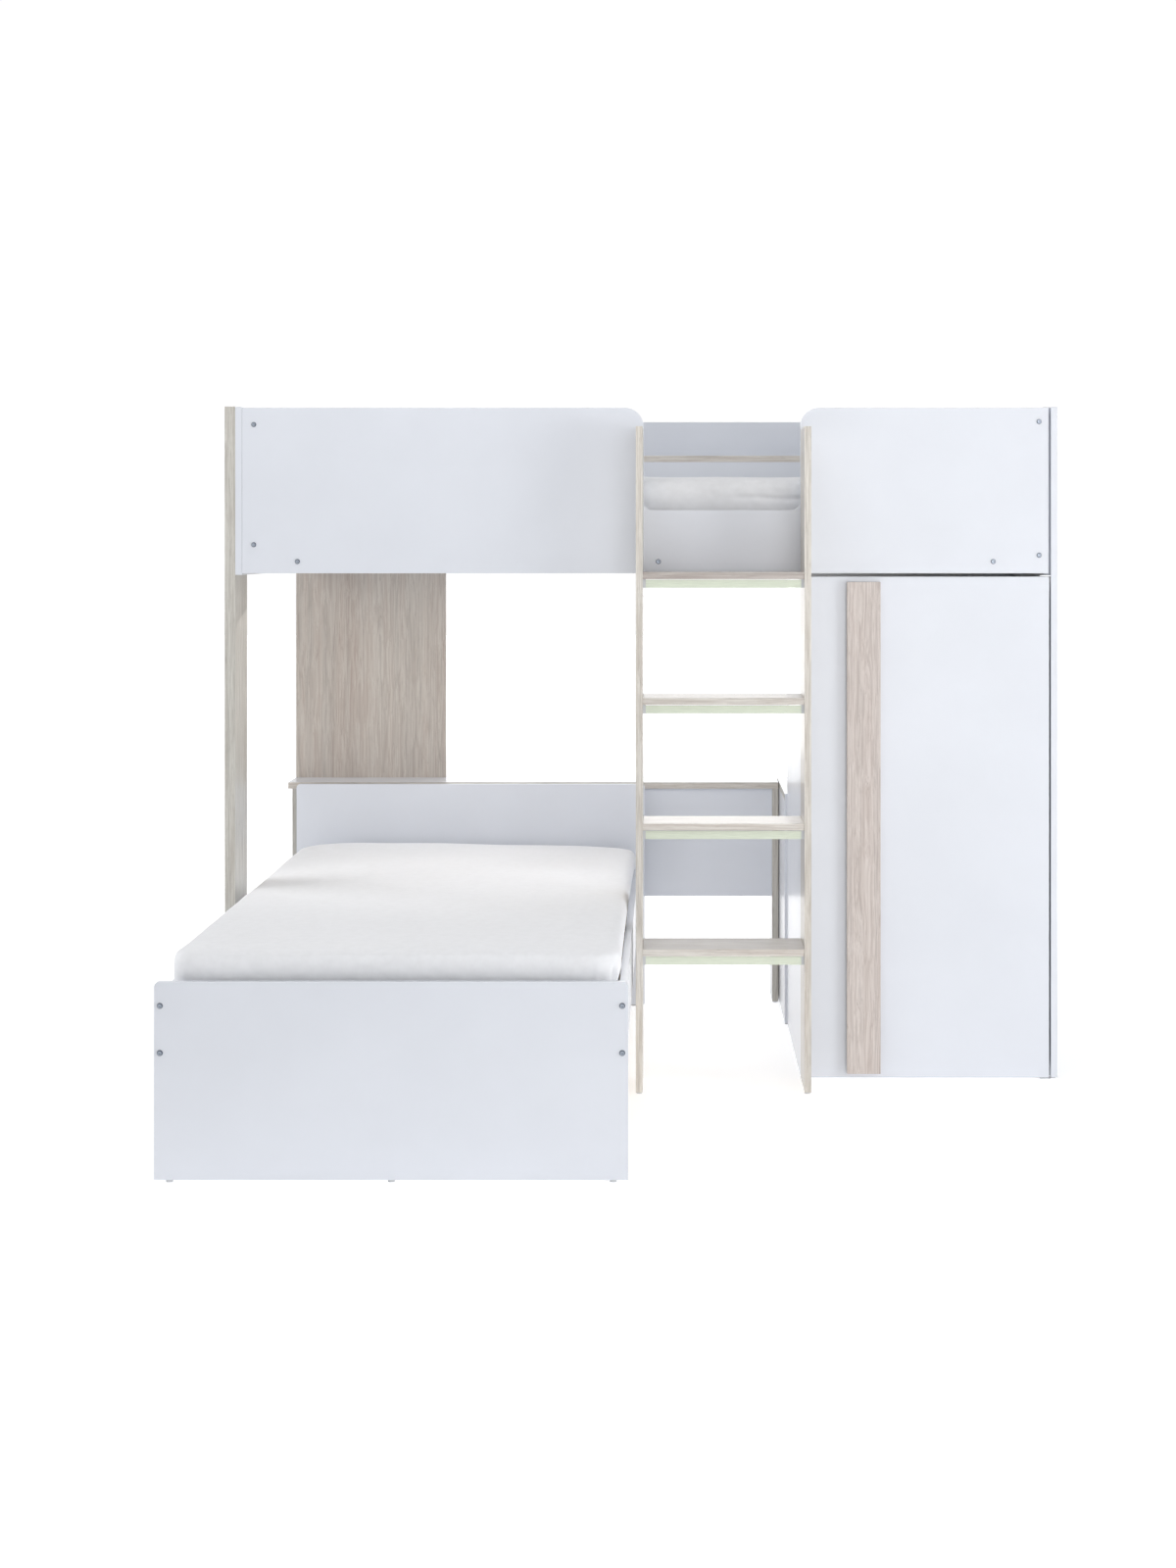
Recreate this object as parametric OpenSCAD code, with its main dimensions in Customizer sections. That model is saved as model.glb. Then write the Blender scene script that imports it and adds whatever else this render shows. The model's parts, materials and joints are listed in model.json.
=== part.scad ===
// L-shaped bunk bed: a high bunk carried by a wardrobe, a post and a rear console,
// reached by a ladder, with a free-standing bed below that lies across it.
// Millimetres. X runs along the upper bunk, Y to the rear, Z up.

/* [Mattresses] */
// Length of each mattress
mattress_l = 1900; // [1800:10:2000]
// Width of each mattress
mattress_w = 900; // [800:10:920]
// Thickness of each mattress at its crown
mattress_t = 170; // [130:5:200]
// Rise of the crown over the rim
mattress_crown = 9; // [4:1:25]
// Radius of a mattress's rolled edges
mattress_edge = 24; // [10:1:40]
// Radius of a mattress's head corners seen from above
mattress_corner = 140; // [60:5:160]
// Radius of a mattress's foot corners seen from above
mattress_foot_corner = 55; // [40:5:120]
// How far each side is drawn in between the corners
mattress_pull = 3; // [0:1:12]

/* [Boards] */
// Thickness of the faced boards
board_t = 16; // [15:1:19]
// Thickness of the console, ledge and desk boards
shelf_t = 18; // [16:1:25]
// Section of the ledgers and guard battens
batten_t = 24; // [20:1:30]
// Height of the plastic glides under the boards
glide_h = 5; // [3:1:10]
// Radius of a glide
glide_r = 7; // [5:0.5:7.5]

/* [Upper bunk] */
// Clear height under the upper bunk
bunk_clear = 1204; // [1100:1:1400]
// Height of the front guard board
guard_h = 394; // [340:1:450]
// Gap between the guard's right end and the end panel
guard_gap = 6; // [3:1:8]
// Clearance of the upper mattress at each end
upper_end_gap = 4.5; // [3:0.5:20]
// Clearance of the upper mattress at the rear
upper_side_gap = 8; // [5:1:20]
// Thickness of the oak corner post
post_t = 25; // [20:1:40]
// Width of the oak corner post
post_w = 172; // [100:1:250]
// How far the post and the end panels stand above the guard
end_rise = 3; // [0:1:10]
// Height of the ledgers under the slats
ledger_h = 58; // [40:1:66]
// Width of the battens behind the guard's ends
guard_batten_w = 50; // [40:1:60]
// Number of slats in each bed
slat_count = 14; // [10:1:18]
// Width of a slat
slat_w = 70; // [50:1:80]
// Thickness of a slat
slat_t = 12; // [10:1:18]

/* [Entry and ladder] */
// Gap between the lower bed and the ladder
bed_ladder_gap = 4.5; // [3:0.5:12]
// Depth of the cut-out below the guard's top edge
entry_drop = 244; // [180:1:260]
// Radius of the guard's corners over the entry
entry_r_top = 45; // [20:1:60]
// Radius in the corners of the cut-out
entry_r_low = 22; // [10:1:40]
// How far the ladder ends below the guard's top edge
ladder_drop = 52; // [20:1:100]
// Clear width between the ladder's uprights
ladder_w = 374; // [340:1:420]
// Width of the uprights, from front to rear
upright_w = 172; // [120:1:200]
// Height of the first step's top
first_step_z = 336; // [280:1:360]
// How far the highest step stands over the bunk's underside
last_step_rise = 4.4; // [0:0.1:12]
// How far the steps lie behind the uprights' front edges
step_inset = 1.5; // [1:0.5:10]
// Height of the glow strip under each step
strip_h = 18.5; // [12:0.5:25]
// Thickness of the glow strip
strip_t = 4; // [3:0.5:6]
// Width of a bracket at the strip's end
bracket_w = 7; // [5:0.5:10]

/* [Rear bay] */
// Depth of the bay behind the upper bunk
bay_d = 188; // [150:1:300]
// Height of the ledge's top over the bunk's underside
ledge_rise = 314; // [240:1:360]
// How far the back panel passes the guard's top edge
back_rise = 22; // [0:1:60]
// Width of the oak panel under the back panel
leg_panel_w = 425; // [300:1:500]
// Height of the console's top
console_z = 613; // [613:1:750]
// Depth of the console
console_d = 150; // [120:1:160]
// Height of the console's apron
apron_h = 299; // [150:1:400]
// How far the apron lies behind the console's front edge
apron_inset = 8; // [4:1:30]
// How far the console's top passes its left leg
console_over = 11.5; // [0:0.5:20]

/* [Wardrobe] */
// How far the wardrobe's left side passes the ladder's right upright
ward_lap = 0; // [0:0.5:14]
// How far the desk passes the wardrobe's left side
desk_proud = 7; // [0:0.5:10]
// Depth of the wardrobe
ward_d = 679; // [550:1:750]
// Gap over the door
door_gap_top = 8; // [6:1:12]
// Gap beside the door at its hinge side
door_gap_side = 4; // [4:0.5:6]
// Gap under the door
door_gap_floor = 4; // [4:1:10]
// How far the door lies behind the front plane
door_inset = 1; // [0:0.5:4]
// Width of the handle batten
handle_w = 80; // [50:1:100]
// Thickness of the handle batten
handle_t = 12; // [10:1:18]
// Depth of the finger gap behind the handle batten
handle_grip_d = 8; // [6:1:12]
// Width of the finger gap behind the handle batten
handle_grip_w = 14; // [10:1:20]
// Handle's place from the door's left edge
handle_x = 89; // [40:1:150]
// Space over and under the handle batten
handle_end = 12.5; // [5:0.5:40]
// Height of the wardrobe's inner floor over the ground
ward_floor_z = 24; // [24:1:60]
// Space between the wardrobe's top board and the bunk
ward_top_gap = 26; // [24:1:60]
// Space between the inner shelf and the wardrobe's top board
ward_shelf_gap = 146; // [120:1:300]
// Radius of the hanging rail
rail_r = 12.5; // [10:0.5:16]
// Distance from the shelf down to the hanging rail's centre
rail_drop = 45; // [35:1:80]

/* [Lower bed] */
// Distance of the bed's left edge from the bunk's left end
bed_x = 30; // [30:1:34]
// Gap between the headboard and the console
bed_console_gap = 29; // [10:1:60]
// Height of the footboard
foot_h = 400; // [385:1:450]
// Height of the headboard
head_h = 612; // [450:1:700]
// How far the headboard passes the right rail
head_extra = 14; // [0:1:20]
// Clearance between the mattress and each side rail
bed_side_gap = 3; // [2:0.5:10]
// Clearance between the mattress and each end board
bed_end_gap = 11.5; // [5:0.5:20]
// How far the end boards pass the rails
bed_over = 4; // [0:1:10]
// Height of a side rail
side_rail_h = 140; // [120:1:160]
// Underside of the side rails over the ground
side_rail_z = 235; // [120:1:240]
// Height of the slats' ledger over the rail's underside
bed_ledger_lift = 20; // [5:1:40]
// Section of the slats' ledgers on the side rails
bed_ledger_s = 22; // [18:1:30]
// Radius of the end boards' top corners
bed_corner_r = 10; // [4:1:30]
// Distance of the bed's bolts above and below the rail's middle
bed_bolt_rise = 47; // [30:1:50]

/* [Hidden] */
$fn = 48;

// Finishes
white = [0.93, 0.94, 0.96];
oak = [0.78, 0.73, 0.67];
sheet = [0.95, 0.95, 0.97];
glow_green = [0.88, 0.93, 0.86];
steel = [0.75, 0.77, 0.79];
plastic = [0.82, 0.83, 0.84];

// Clearances and fixings
cut = 1;               // how far a cutting shape passes a face
soft_gap = 0.3;        // clearance under a mattress
bolt_r = 3;            // shank radius of the furniture bolts
bolt_clear = 0.25;     // radial clearance of a bolt in a board
nut_clear = 0.05;      // radial clearance of a bolt in its nut or batten
bolt_head_r = 6;
bolt_head_h = 3;
bolt_socket_r = 2.3;   // hexagon socket, to its corners
bolt_socket_d = 2;
guard_bolt_l = 34;
bed_bolt_l = 62;
nut_r = 5;
nut_l = 13;
pivot_r = 3;           // door pivot pins
pivot_clear = 0.05;
pivot_plate_t = 2;
pivot_l = 12;          // how deep a pin stands in the door
stand_off = 0.3;       // gap between the door and what it closes on
pin_r = 2.5;           // shelf pins
pin_depth = 8;
pin_clear = 0.1;
screw_r = 2;
screw_head_r = 4;
screw_head_h = 2;
screw_clear = 0.1;

// Upper bunk, from its left end and its front plane
end_x = post_t + board_t;
inner_l = mattress_l + 2 * upper_end_gap;
inner_x1 = end_x + inner_l;
right_x = inner_x1 + board_t;
bunk_l = right_x + board_t;
guard_top = bunk_clear + guard_h;
end_z0 = bunk_clear - 4;
end_z1 = guard_top + end_rise - 1;
post_z1 = guard_top + end_rise;
guard_left_gap = 0.5;  // joint between the guard and the left end panel
guard_x0 = end_x + guard_left_gap;
guard_x1 = right_x - guard_gap;
ledger_y1 = board_t + batten_t;
mattress_y = ledger_y1 + 4;
side_y0 = mattress_y + mattress_w + upper_side_gap;
side_y1 = side_y0 + board_t;
slat_z = bunk_clear + ledger_h;
upper_mattress_z = slat_z + slat_t + soft_gap;
guard_bolt_in = 22;    // end bolts' distance from the guard's right end
guard_bolt_left_in = 27.5; // and from its left end
left_bolt_zs = [bunk_clear + 68, guard_top - 40];
right_bolt_zs = [bunk_clear + 43, guard_top - 33];
ledger_bolt_z = slat_z - 30;

// Rear bay
bay_y1 = side_y1 + bay_d;
back_y1 = bay_y1 + board_t;
back_z = guard_top + back_rise;
ledge_z = bunk_clear + ledge_rise;
ledge_z0 = ledge_z - shelf_t;
console_y = bay_y1 - console_d;
console_z0 = console_z - shelf_t;
console_gap = 2;

// Lower bed
bed_inner_w = mattress_w + 2 * bed_side_gap;
bed_inner_l = mattress_l + 2 * bed_end_gap;
bed_y0 = console_y - bed_console_gap - 2 * board_t - bed_inner_l;
head_y = bed_y0 + board_t + bed_inner_l;
rail_x0 = bed_x + bed_over;
rail_x1 = rail_x0 + board_t + bed_inner_w;
bed_x1 = rail_x1 + board_t + bed_over;
bed_ledger_z = side_rail_z + bed_ledger_lift;
bed_slat_z = bed_ledger_z + bed_ledger_s;
lower_mattress_z = bed_slat_z + slat_t + soft_gap;
bed_bolt_xs = [rail_x0 + board_t / 2, rail_x1 + board_t / 2];
bed_bolt_zs = [for (s = [-1, 1]) side_rail_z + side_rail_h / 2 + s * bed_bolt_rise];
nut_back = 8;          // bolt's end past its nut's middle

// Ladder and entry
ladder_x0 = bed_x1 + bed_ladder_gap + board_t;
ladder_x1 = ladder_x0 + ladder_w;
ladder_h = guard_top - ladder_drop;
entry_x = (ladder_x0 + ladder_x1) / 2;
entry_w = ladder_w - 1;
ledger_bolt_xs = [guard_x0 + 131.5, ladder_x0 + 35.5, guard_x1 - 131];
step_count = 4;
step_pitch = (bunk_clear + last_step_rise - first_step_z) / (step_count - 1);
step_drop = 1.5;       // gap between a step and its glow strip
strip_inset = 4;       // strip's place behind the step's front edge
bracket_d = 10;

// Wardrobe and its door
ward_x = ladder_x1 - ward_lap;
desk_x = ward_x - desk_proud;
console_x1 = desk_x - console_gap;
ward_inner = ward_x + board_t;
ward_top_z = bunk_clear - ward_top_gap;
ward_back_y = ward_d - board_t;
ladder_clear = 2.5;    // between the ladder and the door's edge
door_x0 = max(ward_inner + door_gap_side, ladder_x1 + board_t + ladder_clear);
door_x1 = right_x - door_gap_side;
door_z1 = bunk_clear - door_gap_top;
door_y1 = door_inset + board_t;
pivot_x = door_x1 - board_t / 2;
pivot_y = door_inset + board_t / 2;
door_swing_r = norm([door_x1 - pivot_x, board_t / 2]);   // reach of the door's hinged corners
ward_y = ceil(pivot_y + door_swing_r + 0.4);
pivot_flange_y = ward_y + 3;
pivot_plate_y1 = pivot_flange_y + 38;
pivot_plate_w = 26;
thrust_z = door_gap_floor - stand_off;
handle_x0 = door_x0 + handle_x;
handle_y = door_inset - handle_grip_d;
handle_z0 = door_gap_floor + handle_end;
handle_z1 = door_z1 - handle_end;
handle_screw_zs = [for (k = [0:2]) handle_z0 + 80 + k * (handle_z1 - handle_z0 - 160) / 2];
handle_screw_x = handle_x0 + handle_w / 2 + handle_grip_w / 2;
stop_w = 40;
strike_t = 1.2;
stop_y = door_y1 + strike_t + stand_off;
catch_z = 640;
catch_h = 46;
catch_w = 14;
strike_w = 20;
ward_shelf_z = ward_top_z - board_t - ward_shelf_gap - board_t;
pin_ys = [ward_y + 60, ward_back_y - 60];
rail_y = (ward_y + ward_back_y) / 2;
rail_z = ward_shelf_z - rail_drop;
socket_r = rail_r + 4;
socket_l = 12;
socket_floor = 2;

// The part's origin: the middle of its outer box, on the ground
origin_x = bunk_l / 2;
origin_y = (bed_y0 - bolt_head_h + back_y1) / 2;

// ---- shared shapes ----

// A board between two corners
module slab(low, high) {
    translate(low) cube(high - low);
}

// Moves a shape into the part's own frame
module placed() {
    translate([-origin_x, -origin_y, 0]) children();
}

// A round bar along Y from a point
module bar_y(at, r, l) {
    translate(at) rotate([-90, 0, 0]) cylinder(r = r, h = l);
}

// A round bar along X from a point
module bar_x(at, r, l) {
    translate(at) rotate([0, 90, 0]) cylinder(r = r, h = l);
}

// A furniture bolt with its head's underside at a point, shank towards +Y
module bolt(at, l) {
    translate(at) rotate([-90, 0, 0]) {
        difference() {
            translate([0, 0, -bolt_head_h])
                cylinder(r1 = bolt_head_r - 1.5, r2 = bolt_head_r, h = bolt_head_h);
            translate([0, 0, -bolt_head_h - cut])
                cylinder(r = bolt_socket_r, h = bolt_socket_d + cut, $fn = 6);
        }
        cylinder(r = bolt_r, h = l);
    }
}

// An upright board with round top corners, its face in XZ
module round_board(x0, x1, y, z1, r) {
    translate([0, y + board_t, 0]) rotate([90, 0, 0])
        linear_extrude(board_t) union() {
            translate([x0, glide_h]) square([x1 - x0, z1 - r - glide_h]);
            translate([x0 + r, z1 - r]) square([x1 - x0 - 2 * r, r]);
            for (x = [x0 + r, x1 - r]) translate([x, z1 - r]) circle(r);
        }
}

// Glides in a row under a board, between two points
module glides(a, b, count) {
    for (k = [0:count - 1])
        translate(a + (b - a) * k / (count - 1)) cylinder(r = glide_r, h = glide_h);
}

// Slats across a bed, spread evenly between two places along X or Y
module slats(from, to, low, high, along_x) {
    pitch = (to - from - slat_w) / (slat_count - 1);
    for (k = [0:slat_count - 1]) {
        a = from + k * pitch;
        if (along_x) slab([a, low[0], low[1]], [a + slat_w, high[0], high[1]]);
        else slab([low[0], a, low[1]], [high[0], a + slat_w, high[1]]);
    }
}

// ---- mattress ----

corner_n = 6;          // facets round each corner
edge_n = 7;            // facets along each side

// Corner radius of a ring drawn in by a margin
function ring_r(w, margin, corner) = min(max(corner - margin, 12), w / 2 - margin - 1);

// A ring of points: rounded corners, and sides drawn in between them
function ring(l, w, margin, z, pull) =
    let (head = ring_r(w, margin, mattress_corner), foot = ring_r(w, margin, mattress_foot_corner),
         r = [head, foot, foot, head], sx = [1, -1, -1, 1], sy = [1, 1, -1, -1],
         c = [for (q = [0:3]) [sx[q] * (l / 2 - margin - r[q]), sy[q] * (w / 2 - margin - r[q])]])
    [for (q = [0:3])
        let (a1 = 90 * q + 90, u = [cos(a1), sin(a1)], next = (q + 1) % 4,
             from = c[q] + r[q] * u, to = c[next] + r[next] * u)
        for (k = [0:corner_n + edge_n - 1])
            let (a = 90 * q + 90 * k / corner_n, t = (k - corner_n) / edge_n,
                 p = k <= corner_n
                     ? c[q] + r[q] * [cos(a), sin(a)]
                     : from + (to - from) * t - 4 * pull * t * (1 - t) * u)
            [p[0], p[1], z]];

// Rings from the underside to the top: each is [margin, height, drawn-in share]
function rings() =
    let (e = mattress_edge, rim = mattress_t - mattress_crown, steps = 3)
    concat(
        [for (k = [0:steps]) [e * (1 - sin(90 * k / steps)), e * (1 - cos(90 * k / steps)), k / steps]],
        [[1.5, rim / 2, 1]],
        [for (k = [0:steps]) [e * (1 - cos(90 * k / steps)), rim - e + e * sin(90 * k / steps), 1 - k / steps]],
        [for (m = [0.12, 0.3, 0.55, 0.85])
            [e + m * (mattress_w / 2 - e), rim + mattress_crown * sin(90 * m / 0.85), 0]]);

// A crowned cushion, centred on X and Y, standing on z = 0
module mattress(l, w) {
    count = 4 * (corner_n + edge_n);
    stack = rings();
    last = (len(stack) - 1) * count;
    low = last + count;
    points = concat(
        [for (s = stack) each ring(l, w, s[0], s[1], mattress_pull * s[2])],
        [[0, 0, 0], [0, 0, mattress_t]]);
    walls = [for (i = [0:len(stack) - 2]) for (k = [0:count - 1])
        let (a = i * count + k, b = i * count + (k + 1) % count)
        each [[a, a + count, b], [b, a + count, b + count]]];
    under = [for (k = [0:count - 1]) [low, k, (k + 1) % count]];
    over = [for (k = [0:count - 1]) [low + 1, last + (k + 1) % count, last + k]];
    polyhedron(points, concat(under, over, walls), convexity = 4);
}

// ---- upper bunk ----

module left_post() {
    color(oak) placed() slab([0, 0, glide_h], [post_t, post_w, post_z1]);
}

module left_end_panel() {
    color(white) placed() slab([post_t, 0, end_z0], [end_x, bay_y1, end_z1]);
}

// Full-height board that is also the wardrobe's right side
module right_side_panel() {
    color(white) placed() difference() {
        slab([right_x, 0, glide_h], [bunk_l, ward_d, end_z1]);
        shelf_pin_bores(right_x - cut);
    }
}

module right_end_panel() {
    color(white) placed() slab([inner_x1, board_t, end_z0], [right_x, bay_y1, end_z1]);
}

module right_rear_post() {
    color(oak) placed() slab([right_x, back_y1 - post_w, glide_h], [bunk_l, back_y1, end_z1]);
}

// The outline of the guard: a long board with a U-shaped entry
module guard_outline() {
    e0 = entry_x - entry_w / 2;
    e1 = entry_x + entry_w / 2;
    sill = guard_top - entry_drop;
    union() {
        translate([guard_x0, bunk_clear]) square([e0 - guard_x0, guard_h - entry_r_top]);
        translate([e1, bunk_clear]) square([guard_x1 - e1, guard_h - entry_r_top]);
        translate([guard_x0, guard_top - entry_r_top])
            square([e0 - entry_r_top - guard_x0, entry_r_top]);
        translate([e1 + entry_r_top, guard_top - entry_r_top])
            square([guard_x1 - e1 - entry_r_top, entry_r_top]);
        for (x = [e0 - entry_r_top, e1 + entry_r_top])
            translate([x, guard_top - entry_r_top]) circle(entry_r_top);
        difference() {
            translate([e0 - cut, bunk_clear])
                square([entry_w + 2 * cut, sill + entry_r_low - bunk_clear]);
            translate([e0 + entry_r_low, sill])
                square([entry_w - 2 * entry_r_low, entry_r_low + cut]);
            for (x = [e0 + entry_r_low, e1 - entry_r_low])
                translate([x, sill + entry_r_low]) circle(entry_r_low);
        }
    }
}

// Places of the guard's bolts
guard_bolt_places = concat(
    [for (z = left_bolt_zs) [guard_x0 + guard_bolt_left_in, 0, z]],
    [for (z = right_bolt_zs) [guard_x1 - guard_bolt_in, 0, z]],
    [for (x = ledger_bolt_xs) [x, 0, ledger_bolt_z]]);

module front_guard() {
    color(white) placed() difference() {
        translate([0, board_t, 0]) rotate([90, 0, 0]) linear_extrude(board_t) guard_outline();
        for (p = guard_bolt_places)
            bar_y(p - [0, cut, 0], bolt_r + bolt_clear, board_t + 2 * cut);
        for (p = ladder_screw_places)
            bar_y(p - [0, cut, 0], screw_r + screw_clear, board_t + 2 * cut);
    }
}

module guard_bores() {
    for (p = guard_bolt_places)
        bar_y(p + [0, board_t - cut, 0], bolt_r + nut_clear, guard_bolt_l - board_t + 2 * cut);
}

module guard_battens() {
    color(white) placed() difference() {
        for (x = [end_x, inner_x1 - guard_batten_w])
            slab([x, board_t, bunk_clear], [x + guard_batten_w, ledger_y1, guard_top]);
        guard_bores();
    }
}

module guard_bolts() {
    color(steel) placed() for (p = guard_bolt_places) bolt(p, guard_bolt_l);
}

module front_ledger() {
    color(white) placed() difference() {
        slab([end_x + guard_batten_w, board_t, bunk_clear],
             [inner_x1 - guard_batten_w, ledger_y1, slat_z]);
        guard_bores();
    }
}

module rear_ledger() {
    color(white) placed()
        slab([end_x, side_y0 - batten_t, bunk_clear], [inner_x1, side_y0, slat_z]);
}

module rear_side() {
    color(white) placed() slab([end_x, side_y0, bunk_clear], [inner_x1, side_y1, ledge_z0]);
}

module upper_slats() {
    first = guard_batten_w + 10;
    color(oak) placed()
        slats(end_x + first, inner_x1 - first, [board_t + cut, slat_z],
              [side_y0 - cut, slat_z + slat_t], true);
}

module upper_mattress() {
    color(sheet) placed()
        translate([end_x + inner_l / 2, mattress_y + mattress_w / 2, upper_mattress_z])
            mattress(mattress_l, mattress_w);
}

// ---- rear bay ----

module ledge_shelf() {
    color(white) placed() slab([end_x, side_y0, ledge_z0], [inner_x1, bay_y1, ledge_z]);
}

module back_panel() {
    color(white) placed() slab([0, bay_y1, bunk_clear], [right_x, back_y1, back_z]);
}

module rear_leg_panel() {
    color(oak) placed() slab([0, bay_y1, glide_h], [leg_panel_w, back_y1, bunk_clear]);
}

module console_top() {
    color(white) placed() slab([0, console_y, console_z0], [console_x1, bay_y1, console_z]);
}

module console_leg(x) {
    color(white) placed() slab([x, console_y, glide_h], [x + shelf_t, bay_y1, console_z0]);
}

module console_left_leg() {
    console_leg(console_over);
}

module console_right_leg() {
    console_leg(console_x1 - shelf_t);
}

module console_apron() {
    color(white) placed()
        slab([console_over + shelf_t, console_y + apron_inset, console_z0 - apron_h],
             [console_x1 - shelf_t, console_y + apron_inset + board_t, console_z0]);
}

// ---- desk behind the wardrobe ----

module desk_top() {
    color(white) placed() slab([desk_x, ward_d, console_z0], [right_x, bay_y1, console_z]);
}

module desk_left_side() {
    color(white) placed() slab([desk_x, ward_d, glide_h], [desk_x + board_t, bay_y1, console_z0]);
}

module desk_ledger() {
    color(white) placed()
        slab([desk_x + board_t, ward_d, console_z0 - batten_t],
             [right_x, ward_d + batten_t, console_z0]);
}

// ---- ladder ----

ladder_screw_places = [for (x = [ladder_x0 - board_t / 2, ladder_x1 + board_t / 2])
    for (z = [slat_z + slat_t + 14, slat_z + slat_t + 172]) [x, 0, z]];
ladder_screw_l = 45;

// An upright, screwed to the guard from behind
module ladder_upright(x) {
    color(oak) placed() difference() {
        slab([x, -upright_w, glide_h], [x + board_t, 0, ladder_h]);
        for (p = ladder_screw_places)
            bar_y(p - [0, ladder_screw_l - board_t + cut, 0], screw_r + screw_clear,
                  ladder_screw_l - board_t + 2 * cut);
    }
}

module ladder_left_upright() {
    ladder_upright(ladder_x0 - board_t);
}

module ladder_right_upright() {
    ladder_upright(ladder_x1);
}

// Height of a step's top, counted from the floor
function step_top(k) = first_step_z + (k - 1) * step_pitch;

module ladder_step(k) {
    color(oak) placed()
        slab([ladder_x0, step_inset - upright_w, step_top(k) - board_t],
             [ladder_x1, -step_inset, step_top(k)]);
}

module ladder_step_1() {
    ladder_step(1);
}

module ladder_step_2() {
    ladder_step(2);
}

module ladder_step_3() {
    ladder_step(3);
}

module ladder_step_4() {
    ladder_step(4);
}

// Glow strips hang in brackets under the steps' front edges
module step_strips() {
    y = step_inset + strip_inset - upright_w;
    color(glow_green) placed() for (k = [1:step_count])
        slab([ladder_x0 + bracket_w, y, step_top(k) - board_t - step_drop - strip_h],
             [ladder_x1 - bracket_w, y + strip_t, step_top(k) - board_t - step_drop]);
}

module step_brackets() {
    y = step_inset + strip_inset - upright_w;
    color(plastic) placed() for (k = [1:step_count]) for (x = [ladder_x0, ladder_x1 - bracket_w])
        slab([x, y - 1, step_top(k) - board_t - step_drop - strip_h],
             [x + bracket_w, y + bracket_d, step_top(k) - board_t]);
}

module ladder_screws() {
    color(steel) placed() for (p = ladder_screw_places) {
        bar_y(p + [0, board_t - ladder_screw_l, 0], screw_r, ladder_screw_l);
        bar_y(p + [0, board_t, 0], screw_head_r, screw_head_h);
    }
}

// ---- wardrobe ----

module shelf_pin_bores(x) {
    for (y = pin_ys)
        bar_x([x, y, ward_shelf_z - pin_r], pin_r + pin_clear, pin_depth + 2 * cut);
}

module wardrobe_left_side() {
    color(white) placed() difference() {
        slab([ward_x, 0, glide_h], [ward_inner, ward_d, bunk_clear]);
        shelf_pin_bores(ward_inner - pin_depth - cut);
    }
}

module wardrobe_top() {
    color(white) placed()
        slab([ward_inner, ward_y, ward_top_z - board_t], [right_x, ward_back_y, ward_top_z]);
}

module wardrobe_bottom() {
    color(white) placed()
        slab([ward_inner, ward_y, ward_floor_z], [right_x, ward_back_y, ward_floor_z + board_t]);
}

module wardrobe_back() {
    color(white) placed()
        slab([ward_inner, ward_back_y, ward_floor_z], [right_x, ward_d, end_z0]);
}

module wardrobe_shelf() {
    color(white) placed()
        slab([ward_inner + 1, ward_y + 20, ward_shelf_z],
             [right_x - 1, ward_back_y - 1, ward_shelf_z + board_t]);
}

module shelf_pins() {
    color(steel) placed() for (y = pin_ys) for (x = [ward_inner - pin_depth, right_x - pin_depth])
        bar_x([x, y, ward_shelf_z - pin_r], pin_r, 2 * pin_depth);
}

module hanging_rail() {
    color(steel) placed()
        bar_x([ward_inner + socket_floor, rail_y, rail_z], rail_r,
              right_x - ward_inner - 2 * socket_floor);
}

module rail_socket(x, inner) {
    difference() {
        bar_x([x, rail_y, rail_z], socket_r, socket_l);
        bar_x([inner, rail_y, rail_z], rail_r + pin_clear, socket_l);
    }
}

module rail_sockets() {
    color(steel) placed() {
        rail_socket(ward_inner, ward_inner + socket_floor);
        rail_socket(right_x - socket_l, right_x - socket_floor - socket_l);
    }
}

// Strip that closes the slot beside the door's free edge
module door_stop() {
    color(white) placed()
        slab([ward_inner, stop_y, ward_floor_z + board_t],
             [ward_inner + stop_w, ward_y + board_t, ward_shelf_z - pin_r - socket_l]);
}

module door_magnet() {
    x = ward_inner + stop_w;
    color(plastic) placed()
        slab([x, stop_y, catch_z],
             [x + catch_w, ward_y + board_t, catch_z + catch_h]);
}

// A pivot bracket: a plate over or under the door, a flange on the side panel, and the pin
module pivot_bracket(plate_z, flange_z0, flange_z1, pin_z0) {
    union() {
        slab([right_x - pivot_plate_w, door_inset, plate_z],
             [right_x, pivot_plate_y1, plate_z + pivot_plate_t]);
        slab([right_x - pivot_plate_t, pivot_flange_y, flange_z0],
             [right_x, pivot_plate_y1, flange_z1]);
        translate([pivot_x, pivot_y, pin_z0]) cylinder(r = pivot_r, h = pivot_l + pivot_plate_t);
    }
}

module upper_pivot() {
    plate_z = door_z1 + stand_off + 1;
    color(steel) placed()
        pivot_bracket(plate_z, ward_top_z + 1, plate_z + cut, door_z1 - pivot_l + 1);
}

module lower_pivot() {
    color(steel) placed() union() {
        pivot_bracket(1, 1, ward_floor_z - 1, 2);
        translate([pivot_x, pivot_y, 2]) cylinder(r = pivot_r + 4, h = thrust_z - 2);
    }
}

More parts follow.
